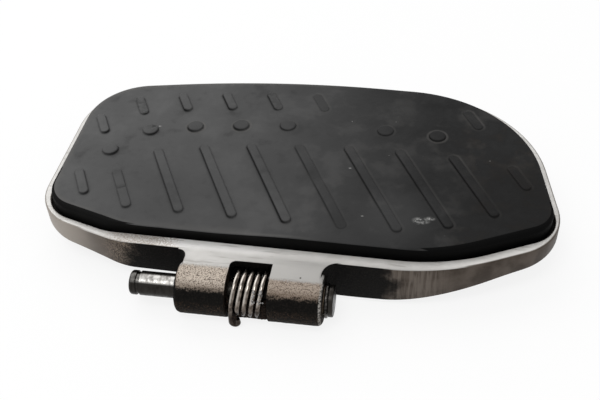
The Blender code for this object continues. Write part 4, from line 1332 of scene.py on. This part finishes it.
def screw_rings():
    """A domed head with a chamfered hexagon socket, and the shank above it."""
    socket = hexagon(2 * SCREW_SOCKET_RADIUS)
    dome = SCREW_HEAD_HEIGHT * 0.55
    crown = SCREW_HEAD_RADIUS - dome
    end = NUT_TOP - SEAT_GAP
    rings = [level(socket, SCREW_HEAD_BOTTOM + SCREW_SOCKET_DEPTH),
             level(socket, SCREW_HEAD_BOTTOM + EDGE_BREAK)]
    steps = [(SCREW_SOCKET_RADIUS * 1.16, SCREW_HEAD_BOTTOM)]
    steps += [(crown + dome * sine, SCREW_HEAD_BOTTOM + dome * drop) for sine, drop in quarter(6)]
    steps += [(SCREW_HEAD_RADIUS, SCREW_HEAD_TOP - EDGE_BREAK),
              (SCREW_HEAD_RADIUS - EDGE_BREAK, SCREW_HEAD_TOP), (SCREW_RADIUS, SCREW_HEAD_TOP),
              (SCREW_RADIUS, end - 2 * EDGE_BREAK), (SCREW_RADIUS - 2 * EDGE_BREAK, end)]
    return rings + [level(circle(radius), height) for radius, height in steps]


def make_fixings():
    zinc = plain_metal("zinc_plated_steel", (0.16, 0.15, 0.13), (0.50, 0.48, 0.44), 0.38)
    washer = [level(circle(radius), height) for height, radius in sleeve(
        WASHER_TOP - WASHER_THICKNESS, WASHER_TOP, SCREW_RADIUS + HOLE_CLEARANCE, WASHER_RADIUS)]
    for number, (x, y) in enumerate(FIXINGS, start=1):
        shift = Matrix.Translation((x, y, 0.0))
        for kind, rings in (("pad_screw", screw_rings()), ("screw_washer", washer)):
            bm = skin(rings, looped=kind == "screw_washer")
            bmesh.ops.transform(bm, matrix=shift, verts=bm.verts)
            finish_piece(mesh_object(f"{kind}_detail_{number}", bm), zinc, "board",
                         "zinc_steel", f"{kind}_{number}")
    plated = plain_metal("zinc_plate", (0.20, 0.19, 0.16), (0.46, 0.44, 0.40), 0.42, size=8.0)
    for name in ["backing_plate"] + [f"weld_nut_{n}" for n in range(1, len(FIXINGS) + 1)]:
        node = frame["nodes"][name]
        node.data.materials.clear()
        node.data.materials.append(plated)


# Floor, light and camera

def make_floor():
    reach = 4.0
    bm = bmesh.new()
    corners = ((-reach, -reach), (reach, -reach), (reach, reach), (-reach, reach))
    bm.faces.new([bm.verts.new((x, y, 0.0)) for x, y in corners])
    floor = mesh_object("floor", bm)
    look = bpy.data.materials.new("pale_floor")
    tree = Tree(look)
    tree.nodes.clear()
    matt = tree.add("BsdfDiffuse", grey(0.80))
    seen = tree.add("MixShader", 0.84, tree.add("BsdfDiffuse", grey(1.0)), tree.add("Emission"))
    tree.add("OutputMaterial", tree.add("MixShader", tree.background_rays(), matt, seen))
    floor.data.materials.append(look)


def make_world():
    world = bpy.data.worlds.new("studio")
    bpy.context.scene.world = world
    tree = Tree(world)
    tree.nodes.clear()
    strength = tree.add("MapRange", tree.background_rays(), None, None, 0.72, 1.0)
    tree.add("OutputWorld", tree.add("Background", None, strength))


def add_lamp(name, place, aim, size, power):
    data = bpy.data.lights.new(name, "AREA")
    data.shape = "RECTANGLE"
    data.size, data.size_y = size
    data.energy = power
    lamp = bpy.data.objects.new(name, data)
    bpy.context.scene.collection.objects.link(lamp)
    lamp.location = place
    lamp.rotation_euler = (Vector(aim) - Vector(place)).to_track_quat("-Z", "Y").to_euler()


def make_camera():
    data = bpy.data.cameras.new("camera")
    data.lens = CAMERA_LENS
    camera = bpy.data.objects.new("camera", data)
    bpy.context.scene.collection.objects.link(camera)
    camera.location = HINGE + CAMERA_PLACE
    camera.rotation_euler = Euler([math.radians(angle) for angle in CAMERA_TURN])
    bpy.context.scene.camera = camera


make_camera()
make_tray()
make_pad()
make_pin()
make_washer_and_bushes()
make_spring()
make_caked_dirt()
make_grease_crumbs()
make_fixings()
make_floor()
make_world()
add_lamp("key", (-0.60, 0.85, 1.25), (-0.05, 0.0, 0.0), (1.8, 1.3), 9.5)
add_lamp("overhead", (-0.20, -0.45, 1.15), (0.0, 0.0, 0.0), (0.5, 0.4), 3.5)
bpy.context.scene.view_settings.view_transform = "Standard"
